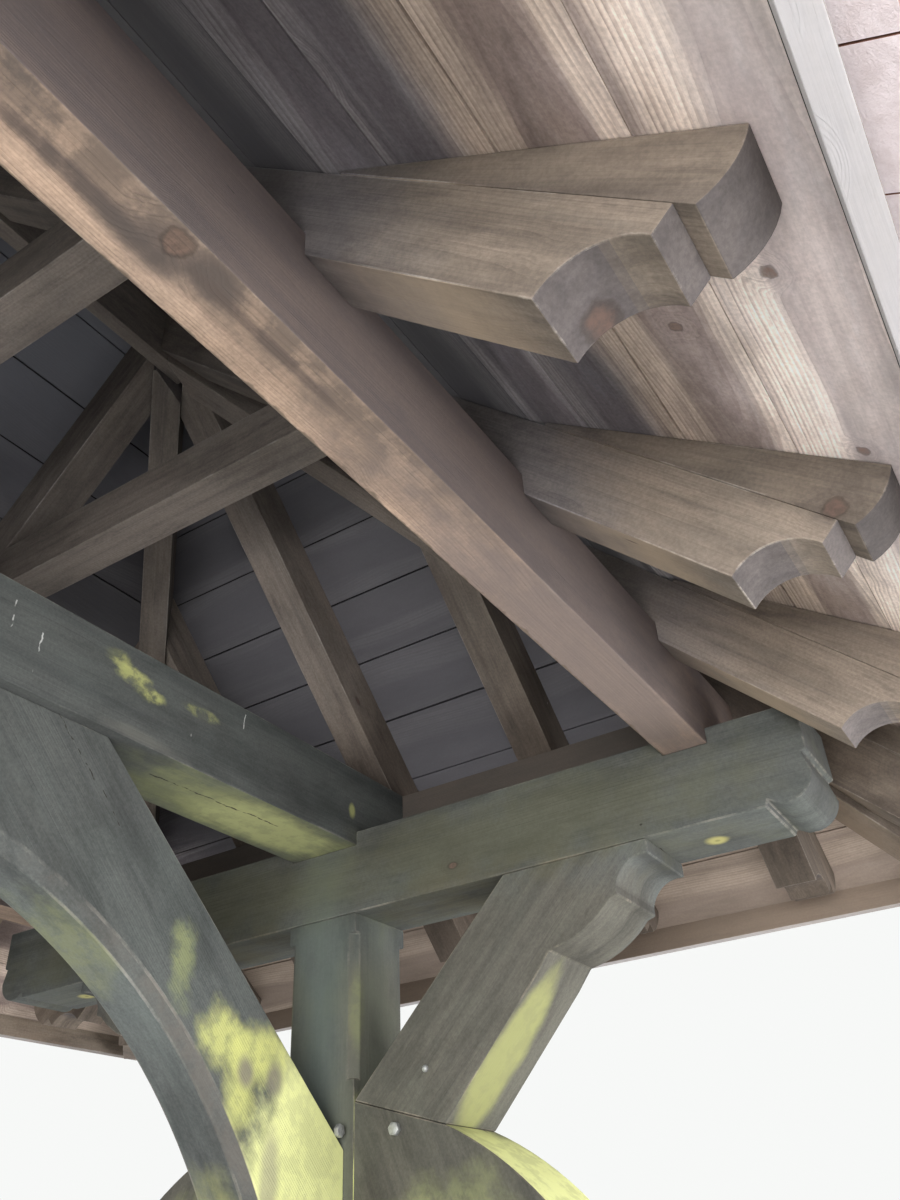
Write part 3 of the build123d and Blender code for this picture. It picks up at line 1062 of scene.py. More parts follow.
@dataclass
class Roof:
    """The shape that all four slopes share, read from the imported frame.

    Attributes:
        ridge_half: Half the length of the ridge.
        top: Height of the rafters' backs at the ridge line.
        break_out: Where the pitch changes, out from the ridge.
        fall: The lower pitch's drop for each metre out.
        board: Thickness of the boarding.
    """

    ridge_half: float
    top: float
    break_out: float = 1.034
    fall: float = 0.732
    board: float = 0.022

    @classmethod
    def from_frame(cls) -> "Roof":
        """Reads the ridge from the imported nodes."""
        return cls(ridge_half=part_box("ridge_tiles")[1].x,
                   top=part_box("boarding_back")[1].z - cls.board * math.sqrt(2))

    @property
    def break_down(self) -> float:
        """Distance down the slope from the ridge to the change of pitch."""
        return self.break_out * math.sqrt(2)

    def down(self, out: float) -> float:
        """Turns a level distance into one down the slope.

        Args:
            out: Distance out from the ridge.

        Returns:
            Distance down the slope.
        """
        if out <= self.break_out:
            return out * math.sqrt(2)
        return self.break_down + (out - self.break_out) * math.hypot(1.0, self.fall)

    def pitch(self, down: float) -> float:
        """The slope's angle there, in radians."""
        return math.radians(45) if down < self.break_down else math.atan(self.fall)

    def point(self, down: float, lift: float) -> Vector:
        """A point of a slope's section.

        Args:
            down: Distance down the rafters' backs from the ridge line.
            lift: Height square off them.

        Returns:
            The point, with Y out from the ridge and Z up.
        """
        upper = min(down, self.break_down)
        lower = max(down - self.break_down, 0.0)
        low = math.atan(self.fall)
        angle = self.pitch(down)
        out = upper / math.sqrt(2) + lower * math.cos(low) + lift * math.sin(angle)
        height = self.top - upper / math.sqrt(2) - lower * math.sin(low) + lift * math.cos(angle)
        return Vector((0.0, out, height))

    def place(self, down: float) -> Matrix:
        """Lays a level shape on the slope, with its middle that far down it."""
        tilt = Matrix.Rotation(-self.pitch(down), 4, "X")
        return Matrix.Translation(self.point(down, 0.0)) @ tilt


@dataclass(frozen=True)
class Slope:
    """One slope of the roof, as a turn of the slope that faces +Y.

    Attributes:
        name: Which slope it is.
        turn: Degrees about Z.
        half: Half its length along the ridge line.
        offset: How far out its ridge line starts.
    """

    name: str
    turn: float
    half: float
    offset: float

    def place(self) -> Matrix:
        """From the slope's own axes to the frame's."""
        turn = Matrix.Rotation(math.radians(self.turn), 4, "Z")
        return turn @ Matrix.Translation((0, self.offset, 0))

    def mitre(self, shape: Shape, gap: float) -> None:
        """Cuts a shape back to the two hips.

        Args:
            shape: The shape, in the slope's own axes.
            gap: What it leaves free there.
        """
        for side in (1.0, -1.0):
            shape.trim(X * side * (self.half - gap), Vector((side, -1, 0)).normalized())


def slopes(roof: Roof) -> tuple[Slope, ...]:
    """The four slopes of the hipped roof."""
    return (Slope("back", 0, roof.ridge_half, 0.0), Slope("left", 90, 0.0, roof.ridge_half),
            Slope("front", 180, roof.ridge_half, 0.0), Slope("right", -90, 0.0, roof.ridge_half))


@dataclass
class Boarding:
    """Sawn boards on the rafters' backs, laid level from eave to ridge.

    Attributes:
        roof: The roof's shape.
        material: The boards' finish.
        felt: The finish of the underlay above them.
        width: A board's width.
        joints_out: Where the boards of the lower pitch meet, out from the ridge.
        least: The least width of the board at the ridge.
        gap: How far a board's edge may lie from the middle of its joint.
        spare: How far a board passes the hip before it is cut.
        rings: Distances between the rings of edges along and across a board.
        cup: How far a board may cup.
        rough: How far its face wanders.
        boxed: How near the tree's heart may lie above or below a board.
        skew: How far the grain may run out of a board's line.
        starts: Where along its log a board may start.
        tones: How bright it may be.
        hip_gap: What a board leaves free at a hip.
        eave_gap: What the lowest board leaves free at the fascia.
        top_gap: How far a board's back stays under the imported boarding's.
        felt_lift: How high the underlay's two faces lie over the boards.
        felt_out: Where it ends, out from the ridge.
        felt_gap: What it leaves free at a hip.
    """

    roof: Roof
    material: bpy.types.Material
    felt: bpy.types.Material
    width: float = 0.1835
    joints_out: tuple[float, ...] = (1.034, 1.136, 1.284, 1.432, 1.582)
    least: float = 0.02
    gap: tuple[float, float] = (0.001, 0.003)
    spare: float = 0.2
    rings: tuple[float, float] = (0.35, 0.07)
    cup: float = 0.0012
    rough: float = 0.0006
    boxed: tuple[float, float] = (0.03, 0.11)
    skew: float = 0.006
    starts: tuple[float, float] = (5.0, 90.0)
    tones: tuple[float, float] = (0.72, 1.2)
    hip_gap: float = 0.001
    eave_gap: float = 0.0006
    top_gap: float = 0.001
    felt_lift: tuple[float, float] = (0.0004, 0.0014)
    felt_out: float = 1.58
    felt_gap: float = 0.004

    def rows(self) -> list[tuple[float, float]]:
        """Spaces the boards, from the change of pitch up and down.

        Returns:
            Top and bottom of each board, down the slope.
        """
        joints = [self.roof.down(out) for out in self.joints_out]
        lower = list(zip(joints, joints[1:]))
        count = math.ceil(joints[0] / self.width)
        upper = [(max(joints[0] - (i + 1) * self.width, 0.0), joints[0] - i * self.width)
                 for i in range(count)]
        return [row for row in upper if row[1] - row[0] > self.least] + lower

    def blank(self, slope: Slope, end: float, half: float, low: float, high: float) -> Shape:
        """A level block that passes both hips.

        Args:
            slope: The slope that it is for.
            end: How far down the slope it reaches.
            half: Half its width.
            low: Its underside.
            high: Its upper side.

        Returns:
            The block, round the origin.
        """
        reach = slope.half + self.roof.point(end, 0.0).y + self.spare
        return Shape.block(Vector((-reach, -half, low)), Vector((reach, half, high)))

    def board(self, slope: Slope, row: tuple[float, float], draw: random.Random) -> Shape:
        """Makes one board.

        Args:
            slope: The slope that it lies on.
            row: Its top and bottom, down the slope.
            draw: The random draws.

        Returns:
            The board, in place.
        """
        start, end = row[0] + draw.uniform(*self.gap), row[1] - draw.uniform(*self.gap)
        last = row[1] >= self.roof.down(self.joints_out[-1])
        if last:
            end = row[1] + self.roof.board
        half = (end - start) / 2
        shape = self.blank(slope, end, half, 0.0, self.roof.board - self.top_gap)
        for along, step in zip((X, Y), self.rings):
            shape.divide(along, step)
        cup = draw.uniform(-self.cup, self.cup)
        for vert in shape.bm.verts:
            share = vert.co.y / half
            vert.co.z += max(cup * (share * share - 0.3), -vert.co.z)
            vert.co.z += self.rough * (1 + noise.noise(vert.co * 2.0 + Y * 40 * start))
        heart = Vector((0.0, draw.uniform(-0.5, 0.5) * half,
                        draw.choice((-1, 1)) * draw.uniform(*self.boxed)))
        shape.lay_grain(Vector((1, draw.uniform(-self.skew, self.skew), 0)), heart,
                        draw.uniform(*self.starts), draw.uniform(*self.tones))
        shape.move(self.roof.place((start + end) / 2))
        if last:
            shape.trim(Y * (self.joints_out[-1] - self.eave_gap), Y)
        slope.mitre(shape, self.hip_gap)
        return shape.move(slope.place())

    def underlay(self, slope: Slope) -> Iterable[Shape]:
        """Makes the thin sheet over the boards of one slope.

        Args:
            slope: The slope.

        Returns:
            Its upper and its lower part, in place.
        """
        low, high = (self.roof.board + lift for lift in self.felt_lift)
        bend = self.roof.break_down
        for start, end in ((0.0, bend), (bend, self.roof.down(self.felt_out))):
            part = self.blank(slope, end, (end - start) / 2 - 0.001, low, high)
            part.move(self.roof.place((start + end) / 2))
            slope.mitre(part, self.felt_gap)
            yield part.move(slope.place())

    def build(self) -> None:
        """Boards all four slopes."""
        for slope in slopes(self.roof):
            draw = random.Random(f"boards {slope.name}")
            piece = Piece(f"boards_{slope.name}")
            for row in self.rows():
                piece.add(self.board(slope, row, draw))
            piece.finish(self.material, Slot.BOARDING, f"boarding_{slope.name}", smooth=20.0)
            felt = Piece(f"underlay_{slope.name}")
            for part in self.underlay(slope):
                felt.add(part)
            felt.finish(self.felt, Slot.BOARDING)


@dataclass
class TileCoat:
    """Plain clay tiles in half bond, each hung at its head and lapped twice.

    Attributes:
        roof: The roof's shape.
        material: The tiles' finish.
        width: A tile's width.
        length: Its length.
        thickness: Its thickness.
        gauge: How much of it shows.
        camber: How far it curves.
        eave_out: Where the eaves course ends, out from the ridge.
        eave_length: Length of the short course under the first.
        joint: The gap between neighbours.
        hip_gap: What they leave free at a hip.
        ridge_gap: What the highest course leaves free at the ridge.
        tail_lift: How high the tails lie over the boards.
        head_lift: How high the heads lie over them.
        chamfer: Width of the worn edge of a tail.
        least: The shortest tile that is laid.
        slack: How far a tile may lie to either side, and up its slope.
        turns: How far it may rock and turn, in radians.
        spread: Above 1, fewer tiles are dark.
    """

    roof: Roof
    material: bpy.types.Material
    width: float = 0.165
    length: float = 0.265
    thickness: float = 0.012
    gauge: float = 0.100
    camber: float = 0.0025
    eave_out: float = 1.643
    eave_length: float = 0.165
    joint: float = 0.0025
    hip_gap: float = 0.002
    ridge_gap: float = 0.004
    tail_lift: float = 0.032
    head_lift: float = 0.0016
    chamfer: float = 0.002
    least: float = 0.03
    slack: tuple[float, float] = (0.001, 0.002)
    turns: tuple[float, float] = (0.004, 0.006)
    spread: float = 1.5

    def tile(self, length: float) -> bpy.types.Mesh:
        """One tile, its tail at the origin and its head towards -Y.

        Args:
            length: Its length.

        Returns:
            A mesh to copy.
        """
        shape = Shape.block(Vector((-self.width / 2, -length, 0.0)),
                            Vector((self.width / 2, 0.0, self.thickness)))
        shape.divide(Y, length / 3)
        for vert in shape.bm.verts:
            share = -vert.co.y / length
            vert.co.z += 4 * self.camber * share * (1 - share)
        tail = [e for e in shape.bm.edges if all(v.co.y > -1e-6 for v in e.verts)
                and all(v.co.z > self.thickness / 2 for v in e.verts)]
        bmesh.ops.bevel(shape.bm, geom=tail, offset=self.chamfer, affect="EDGES", segments=1,
                        profile=0.5, material=-1)
        return shape.mesh("tile")

    def courses(self) -> list[tuple[float, float, float]]:
        """Works out the courses, the short one at the eave first.

        Returns:
            Each course's tail down the slope, its tiles' length and the lift of its tail.
        """
        edge = self.roof.down(self.eave_out)
        lift = self.roof.board + self.tail_lift
        count = int((edge - self.least) / self.gauge)
        full = [(edge - i * self.gauge, self.length, lift) for i in range(count + 1)]
        return [(edge, self.eave_length, lift - self.thickness), *full]

    def build(self) -> None:
        """Tiles all four slopes."""
        for slope in slopes(self.roof):
            draw = random.Random(f"tiles {slope.name}")
            shape = Shape()
            for index, (down, length, lift) in enumerate(self.courses()):
                self.lay(shape, slope, down, min(length, down - self.ridge_gap), lift,
                         index % 2, draw)
            slope.mitre(shape, self.hip_gap)
            shape.move(slope.place())
            piece = Piece(f"plain_tiles_{slope.name}")
            piece.add(shape)
            piece.finish(self.material, Slot.TILE, f"tiles_{slope.name}")

    def lay(self, shape: Shape, slope: Slope, down: float, length: float, lift: float,
            shift: int, draw: random.Random) -> None:
        """Lays one course.

        Args:
            shape: Where its tiles go.
            slope: The slope that it lies on.
            down: Its tails' distance down the slope.
            length: The tiles' length.
            lift: Their tails' height over the rafters' backs.
            shift: 1 if the course starts with half a tile.
            draw: The random draws.
        """
        if length < self.least:
            return
        template = self.tile(length)
        tail = self.roof.point(down, lift)
        head = self.roof.point(down - length, self.roof.board + self.head_lift)
        tilt = math.atan2(head.z - tail.z, tail.y - head.y)
        reach = slope.half + tail.y + self.width
        step = self.width + self.joint
        count = int(reach / step)
        aside, up = self.slack
        rock, turn = self.turns
        tones = template.attributes["tone"].data
        for column in range(-count, count + 1):
            along = (column + 0.5 * shift) * step + draw.uniform(-aside, aside)
            if abs(along) > reach:
                continue
            place = Matrix.Translation(tail + Vector((along, draw.uniform(-up, 0.0), 0.0)))
            place = place @ Matrix.Rotation(-tilt + draw.uniform(-rock, rock), 4, "X")
            place = place @ Matrix.Rotation(draw.uniform(-turn, turn), 4, "Z")
            tones.foreach_set("value", [draw.random() ** self.spread] * len(tones))
            template.transform(place)
            shape.bm.from_mesh(template)
            template.transform(place.inverted())
        bpy.data.meshes.remove(template)


@dataclass
class Caps:
    """Ridge and hip tiles in lengths, bedded in mortar.

    Attributes:
        material: The tiles' finish.
        mortar: The finish of their bed.
        length: Length of one tile.
        joint: Width of a joint.
        coat: How high the coat of tiles under them stands over the rafters' backs.
        thickness: Their thickness.
        wing: How far they reach down each slope.
        arris: Width of their rounded edges.
        bed: How far the mortar lies under their faces.
        pointing: Half the width of the mortar at the ridge's ends.
        spread: Above 1, fewer tiles are dark.
        sharp: The least turn that is rounded, in degrees.
    """

    material: bpy.types.Material
    mortar: bpy.types.Material
    length: float = 0.30
    joint: float = 0.008
    coat: float = 0.067
    thickness: float = 0.016
    wing: float = 0.150
    arris: float = 0.003
    bed: float = 0.004
    pointing: float = 0.007
    spread: float = 1.5
    sharp: float = 40.0

    def build(self, node: str, lines: tuple[Vector, ...]) -> None:
        """Cuts a packed cap into tiles and beds them.

        Args:
            node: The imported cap.
            lines: The level direction of each of its runs, out from the middle.
        """
        draw = random.Random(node)
        tiles, bed = Piece(f"{node}_laid"), Piece(f"{node}_mortar")
        for line in lines:
            reach = max(v.co.dot(line) for v in frame["nodes"][node].data.vertices)
            first = min(v.co.dot(line) for v in self.run(node, line).bm.verts)
            count = round((reach - first) / self.length)
            step = (reach - first) / count
            for index in range(count):
                shape = self.run(node, line)
                start, end = first + index * step, first + (index + 1) * step
                shape.trim(line * (end - self.joint / 2), line)
                shape.trim(line * (start + self.joint / 2), -line)
                shape.wear(self.arris, self.sharp)
                shape.lay_grain(line, Vector(), 0.0, draw.random() ** self.spread)
                tiles.add(shape)
            under = self.run(node, line)
            bmesh.ops.recalc_face_normals(under.bm, faces=under.bm.faces)
            under.bm.normal_update()
            for vert in under.bm.verts:
                vert.co -= vert.normal * self.bed
            bed.add(under)
        tiles.finish(self.material, Slot.TILE, node)
        bed.finish(self.mortar, Slot.TILE)

    def point_ends(self, roof: Roof) -> None:
        """Points the joints between ridge and hip tiles with mortar.

        Args:
            roof: The roof's shape.
        """
        piece = Piece("ridge_end_mortar")
        low, high = self.coat - 0.006, self.coat + self.thickness - 0.004
        for slope in slopes(roof):
            end = slope.half + self.joint / 2
            for middle in (end, -end) if slope.half else (0.0,):
                shape = Shape.block(Vector((middle - self.pointing, -2 * high, low)),
                                    Vector((middle + self.pointing, self.wing, high)))
                shape.move(roof.place(0.0))
                shape.trim(Vector(), -Y)
                shape.wear(0.002, self.sharp)
                piece.add(shape.move(slope.place()))
        piece.finish(self.mortar, Slot.TILE)

    def run(self, node: str, line: Vector) -> Shape:
        """A welded copy of the part of a cap that lies along a line.

        Args:
            node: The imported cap.
            line: Its level direction, out from the middle.

        Returns:
            That part.
        """
        shape = Shape.of_node(node)
        for solid in shape.solids():
            level = shape.middle(solid) * Vector((1, 1, 0))
            if level.length > 0.2 and level.dot(line) < 0.8 * level.length * line.length:
                bmesh.ops.delete(shape.bm, geom=solid, context="VERTS")
        return shape


@dataclass
class Bolts:
    """Galvanised bolts through the braces, with nuts and washers outside.

    Attributes:
        material: Their finish.
        dome_radius: Radius of the brackets' domed heads.
        head_radius: Radius of the other bolts' six-sided heads, over the corners.
        head_height: Height of those.
        washer: Half the side of a square washer.
        plate: Its thickness.
        nut_radius: Radius of a nut, over the corners.
        nut_top: Height of its outer face over the wood.
        end_radius: Radius of a bolt's end.
        end_top: Height of that end over the wood.
        chamfers: Widths of the worn edges of a head, of a nut or bolt, and of a washer.
        sharp: The least turn that is rounded, in degrees.
        bracket: Where a bracket's bolt passes the post, out and up.
        strut: Where a strut's bolt passes it.
        brace: Where an arch brace's bolt has its head.
        turns: How far the struts' and the braces' heads are turned.
    """

    material: bpy.types.Material
    dome_radius: float = 0.0075
    head_radius: float = 0.0140
    head_height: float = 0.0120
    washer: float = 0.022
    plate: float = 0.003
    nut_radius: float = 0.014
    nut_top: float = 0.013
    end_radius: float = 0.006
    end_top: float = 0.021
    chamfers: tuple[float, float, float] = (0.0024, 0.0012, 0.0008)
    sharp: float = 50.0
    bracket: tuple[float, float] = (0.286, 1.885)
    strut: tuple[float, float] = (0.2095, 1.780)
    brace: Place = (1.238, 0.075, 1.788)
    turns: tuple[float, float] = (0.35, 0.2)

    @staticmethod
    def stand(at: Vector, towards: Vector) -> Matrix:
        """Places a fixing that is modelled upright on a surface that points somewhere."""
        return Matrix.Translation(at) @ towards.to_track_quat("Z", "Y").to_matrix().to_4x4()

    def dome(self, at: Vector, towards: Vector) -> Shape:
        """A small domed head on a surface.

        Args:
            at: Where it sits.
            towards: Which way the surface points.

        Returns:
            The head, in place.
        """
        shape = Shape()
        bmesh.ops.create_uvsphere(shape.bm, u_segments=20, v_segments=12,
                                  radius=self.dome_radius)
        shape.trim(Vector(), -Z)
        shape.move(Matrix.Diagonal((1.0, 1.0, 0.8, 1.0)))
        return shape.move(self.stand(at, towards))

    def prism(self, sides: int, radius: float, low: float, high: float, chamfer: float,
              turn: float) -> Shape:
        """An upright prism with its edges taken off.

        Args:
            sides: How many sides it has.
            radius: Its radius over the corners.
            low: Height of its foot.
            high: Height of its top.
            chamfer: Width of what is taken off.
            turn: How far it is turned.

        Returns:
            The prism, over the origin.
        """
        shape = Shape()
        bmesh.ops.create_cone(shape.bm, cap_ends=True, segments=sides, radius1=radius,
                              radius2=radius, depth=high - low)
        shape.wear(chamfer, self.sharp)
        lift = Matrix.Translation(Z * (low + high) / 2)
        return shape.move(lift @ Matrix.Rotation(turn, 4, "Z"))

    def head(self, at: Vector, towards: Vector, turn: float) -> Shape:
        """A six-sided head with its corners taken off.

        Args:
            at: Where it sits.
            towards: Which way the surface points.
            turn: How far it was turned.

        Returns:
            The head, in place.
        """
        shape = self.prism(6, self.head_radius, 0.0, self.head_height, self.chamfers[0], turn)
        return shape.move(self.stand(at, towards))

    def nut(self, at: Vector, towards: Vector, turn: float) -> list[Shape]:
        """A square washer, a nut and the end of its bolt.

        Args:
            at: Where it sits.
            towards: Which way the surface points.
            turn: How far the nut was turned.

        Returns:
            The three shapes, in place.
        """
        side = self.washer
        washer = Shape.block(Vector((-side, -side, 0.0)), Vector((side, side, self.plate)))
        washer.wear(self.chamfers[2])
        chamfer = self.chamfers[1]
        nut = self.prism(6, self.nut_radius, self.plate, self.nut_top, chamfer, turn)
        end = self.prism(16, self.end_radius, self.nut_top, self.end_top, chamfer, turn)
        place = self.stand(at, towards)
        return [shape.move(place) for shape in (washer, nut, end)]

    def build(self) -> None:
        """Bolts the brackets, struts and arch braces of both sides."""
        draw = random.Random("bolts")
        inner, outer = (corner.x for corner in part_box("post_right"))
        piece = Piece("bolts")
        for sx, sy in ((1, 1), (1, -1), (-1, 1), (-1, -1)):
            corner = Vector((sx, sy, 1))
            bracket, strut = (Vector((inner, *at)) * corner for at in (self.bracket, self.strut))
            shapes = [self.dome(bracket, -sx * X), self.head(strut, -sx * X, self.turns[0]),
                      self.head(Vector(self.brace) * corner, sy * Y, self.turns[1])]
            for at in (self.bracket, self.strut):
                shapes += self.nut(Vector((outer, *at)) * corner, sx * X, draw.uniform(0, 1))
            for shape in shapes:
                piece.add(shape)
        piece.finish(self.material, Slot.TIMBER)


@dataclass(frozen=True)
class Lamp:
    """A square, soft lamp.

    Attributes:
        name: Its name.
        at: Where it stands.
        towards: What it points at.
        size: Side of its square.
        power: Its power in watts.
    """

    name: str
    at: Place
    towards: Place
    size: float
    power: float

    def light(self) -> None:
        """Adds the lamp."""
        data = bpy.data.lights.new(self.name, "AREA")
        data.size, data.energy = self.size, self.power
        made = bpy.data.objects.new(self.name, data)
        ray = Vector(self.towards) - Vector(self.at)
        turn = ray.to_track_quat("-Z", "Y").to_matrix().to_4x4()
        made.matrix_world = Matrix.Translation(self.at) @ turn
        made.visible_camera = False
        bpy.context.scene.collection.objects.link(made)


@dataclass
class Studio:
    """A pale floor, soft light and the camera.

    Attributes:
        eye: Where the camera stands.
        right: Its right-hand axis.
        up: Its upward axis.
        ahead: The way it looks.
        lens: Focal length for the sensor's long side, in millimetres.
        sensor: The sensor's long side.
        clip: The nearest and farthest distance that is shown.
        floor_half: Half the floor's side.
        floor_top: Its height.
        floor_colour: Its colour.
        floor_roughness: Its roughness.
        soft: Colour and strength of the even light.
        shown: Colour and strength of the ground that the camera sees.
        lamps: The lamps.
    """

    eye: Place = (-0.6408, -1.5484, 1.5005)
    right: Place = (0.539695, -0.840667, -0.04481)
    up: Place = (-0.456441, -0.336923, 0.823495)
    ahead: Place = (0.707383, 0.423983, 0.565551)
    lens: float = 30.18
    sensor: float = 36.0
    clip: tuple[float, float] = (0.05, 200.0)
    floor_half: float = 40.0
    floor_top: float = -0.001
    floor_colour: Colour = (0.78, 0.77, 0.75)
    floor_roughness: float = 0.9
    soft: tuple[Colour, float] = ((0.92, 0.965, 1.03), 0.75)
    shown: tuple[Colour, float] = ((0.93, 0.94, 0.93), 1.0)
    lamps: tuple[Lamp, ...] = (
        Lamp("low_right", (3.4, -3.6, 0.3), (0.9, -1.2, 2.5), 3.0, 260.0),
        Lamp("left", (-4.2, -2.2, 1.3), (0.6, -0.8, 2.4), 3.0, 400.0),
        Lamp("front", (4.0, -6.5, 4.0), (0.0, 0.0, 2.0), 4.0, 215.0),
        Lamp("behind", (1.0, 7.0, 4.5), (0.0, 0.0, 2.0), 5.0, 330.0))

    def camera(self) -> None:
        """Adds the camera."""
        data = bpy.data.cameras.new("camera")
        data.lens, data.sensor_width = self.lens, self.sensor
        data.clip_start, data.clip_end = self.clip
        made = bpy.data.objects.new("camera", data)
        turn = Matrix((self.right, self.up, -Vector(self.ahead))).transposed().to_4x4()
        made.matrix_world = Matrix.Translation(self.eye) @ turn
        bpy.context.scene.collection.objects.link(made)
        bpy.context.scene.camera = made

    def floor(self) -> None:
        """Adds the floor."""
        bm = bmesh.new()
        bmesh.ops.create_grid(bm, x_segments=1, y_segments=1, size=self.floor_half)
        mesh = bpy.data.meshes.new("floor")
        bm.to_mesh(mesh)
        bm.free()
        made = bpy.data.objects.new("floor", mesh)
        made.location.z = self.floor_top
        shader = Shader("pale_floor")
        shader.feed(shader.surface.inputs["Base Color"], self.floor_colour)
        shader.feed(shader.surface.inputs["Roughness"], self.floor_roughness)
        mesh.materials.append(shader.material)
        bpy.context.scene.collection.objects.link(made)

    def world(self) -> None:
        """Lights the scene evenly, and shows a pale ground behind it."""
        world = bpy.data.worlds.new("studio")
        bpy.context.scene.world = world
        world.use_nodes = True
        tree = world.node_tree
        tree.nodes.clear()
        output = tree.nodes.new("ShaderNodeOutputWorld")
        blend = tree.nodes.new("ShaderNodeMixShader")
        ray = tree.nodes.new("ShaderNodeLightPath")
        tree.links.new(ray.outputs["Is Camera Ray"], blend.inputs[0])
        for socket, (colour, strength) in zip(blend.inputs[1:], (self.soft, self.shown)):
            shade = tree.nodes.new("ShaderNodeBackground")
            shade.inputs["Color"].default_value = (*colour, 1.0)
            shade.inputs["Strength"].default_value = strength
            tree.links.new(shade.outputs[0], socket)
        tree.links.new(blend.outputs[0], output.inputs["Surface"])

    def build(self) -> None:
        """Sets the whole studio up."""
        bpy.context.scene.view_settings.view_transform = "Standard"
        self.camera()
        self.floor()
        self.world()
        for lamp in self.lamps:
            lamp.light()


ALGAE: Colour = (0.60, 0.61, 0.21)
SUNLIT_ALGAE: Colour = (0.88, 0.90, 0.40)
SHADED_ALGAE: Colour = (0.305, 0.31, 0.130)
THIN_ALGAE: Colour = (0.25, 0.265, 0.125)
# The middle of the painted shade inside the roof.
ROOF_SHADE_CENTRE: Place = (0.0, 0.0, 3.05)
PLATE_UNDER = 2.416
ACROSS, ALONG, DOWN = (1.0, 0.0, 0.0), (0.0, 1.0, 0.0), (0.0, 0.0, -1.0)

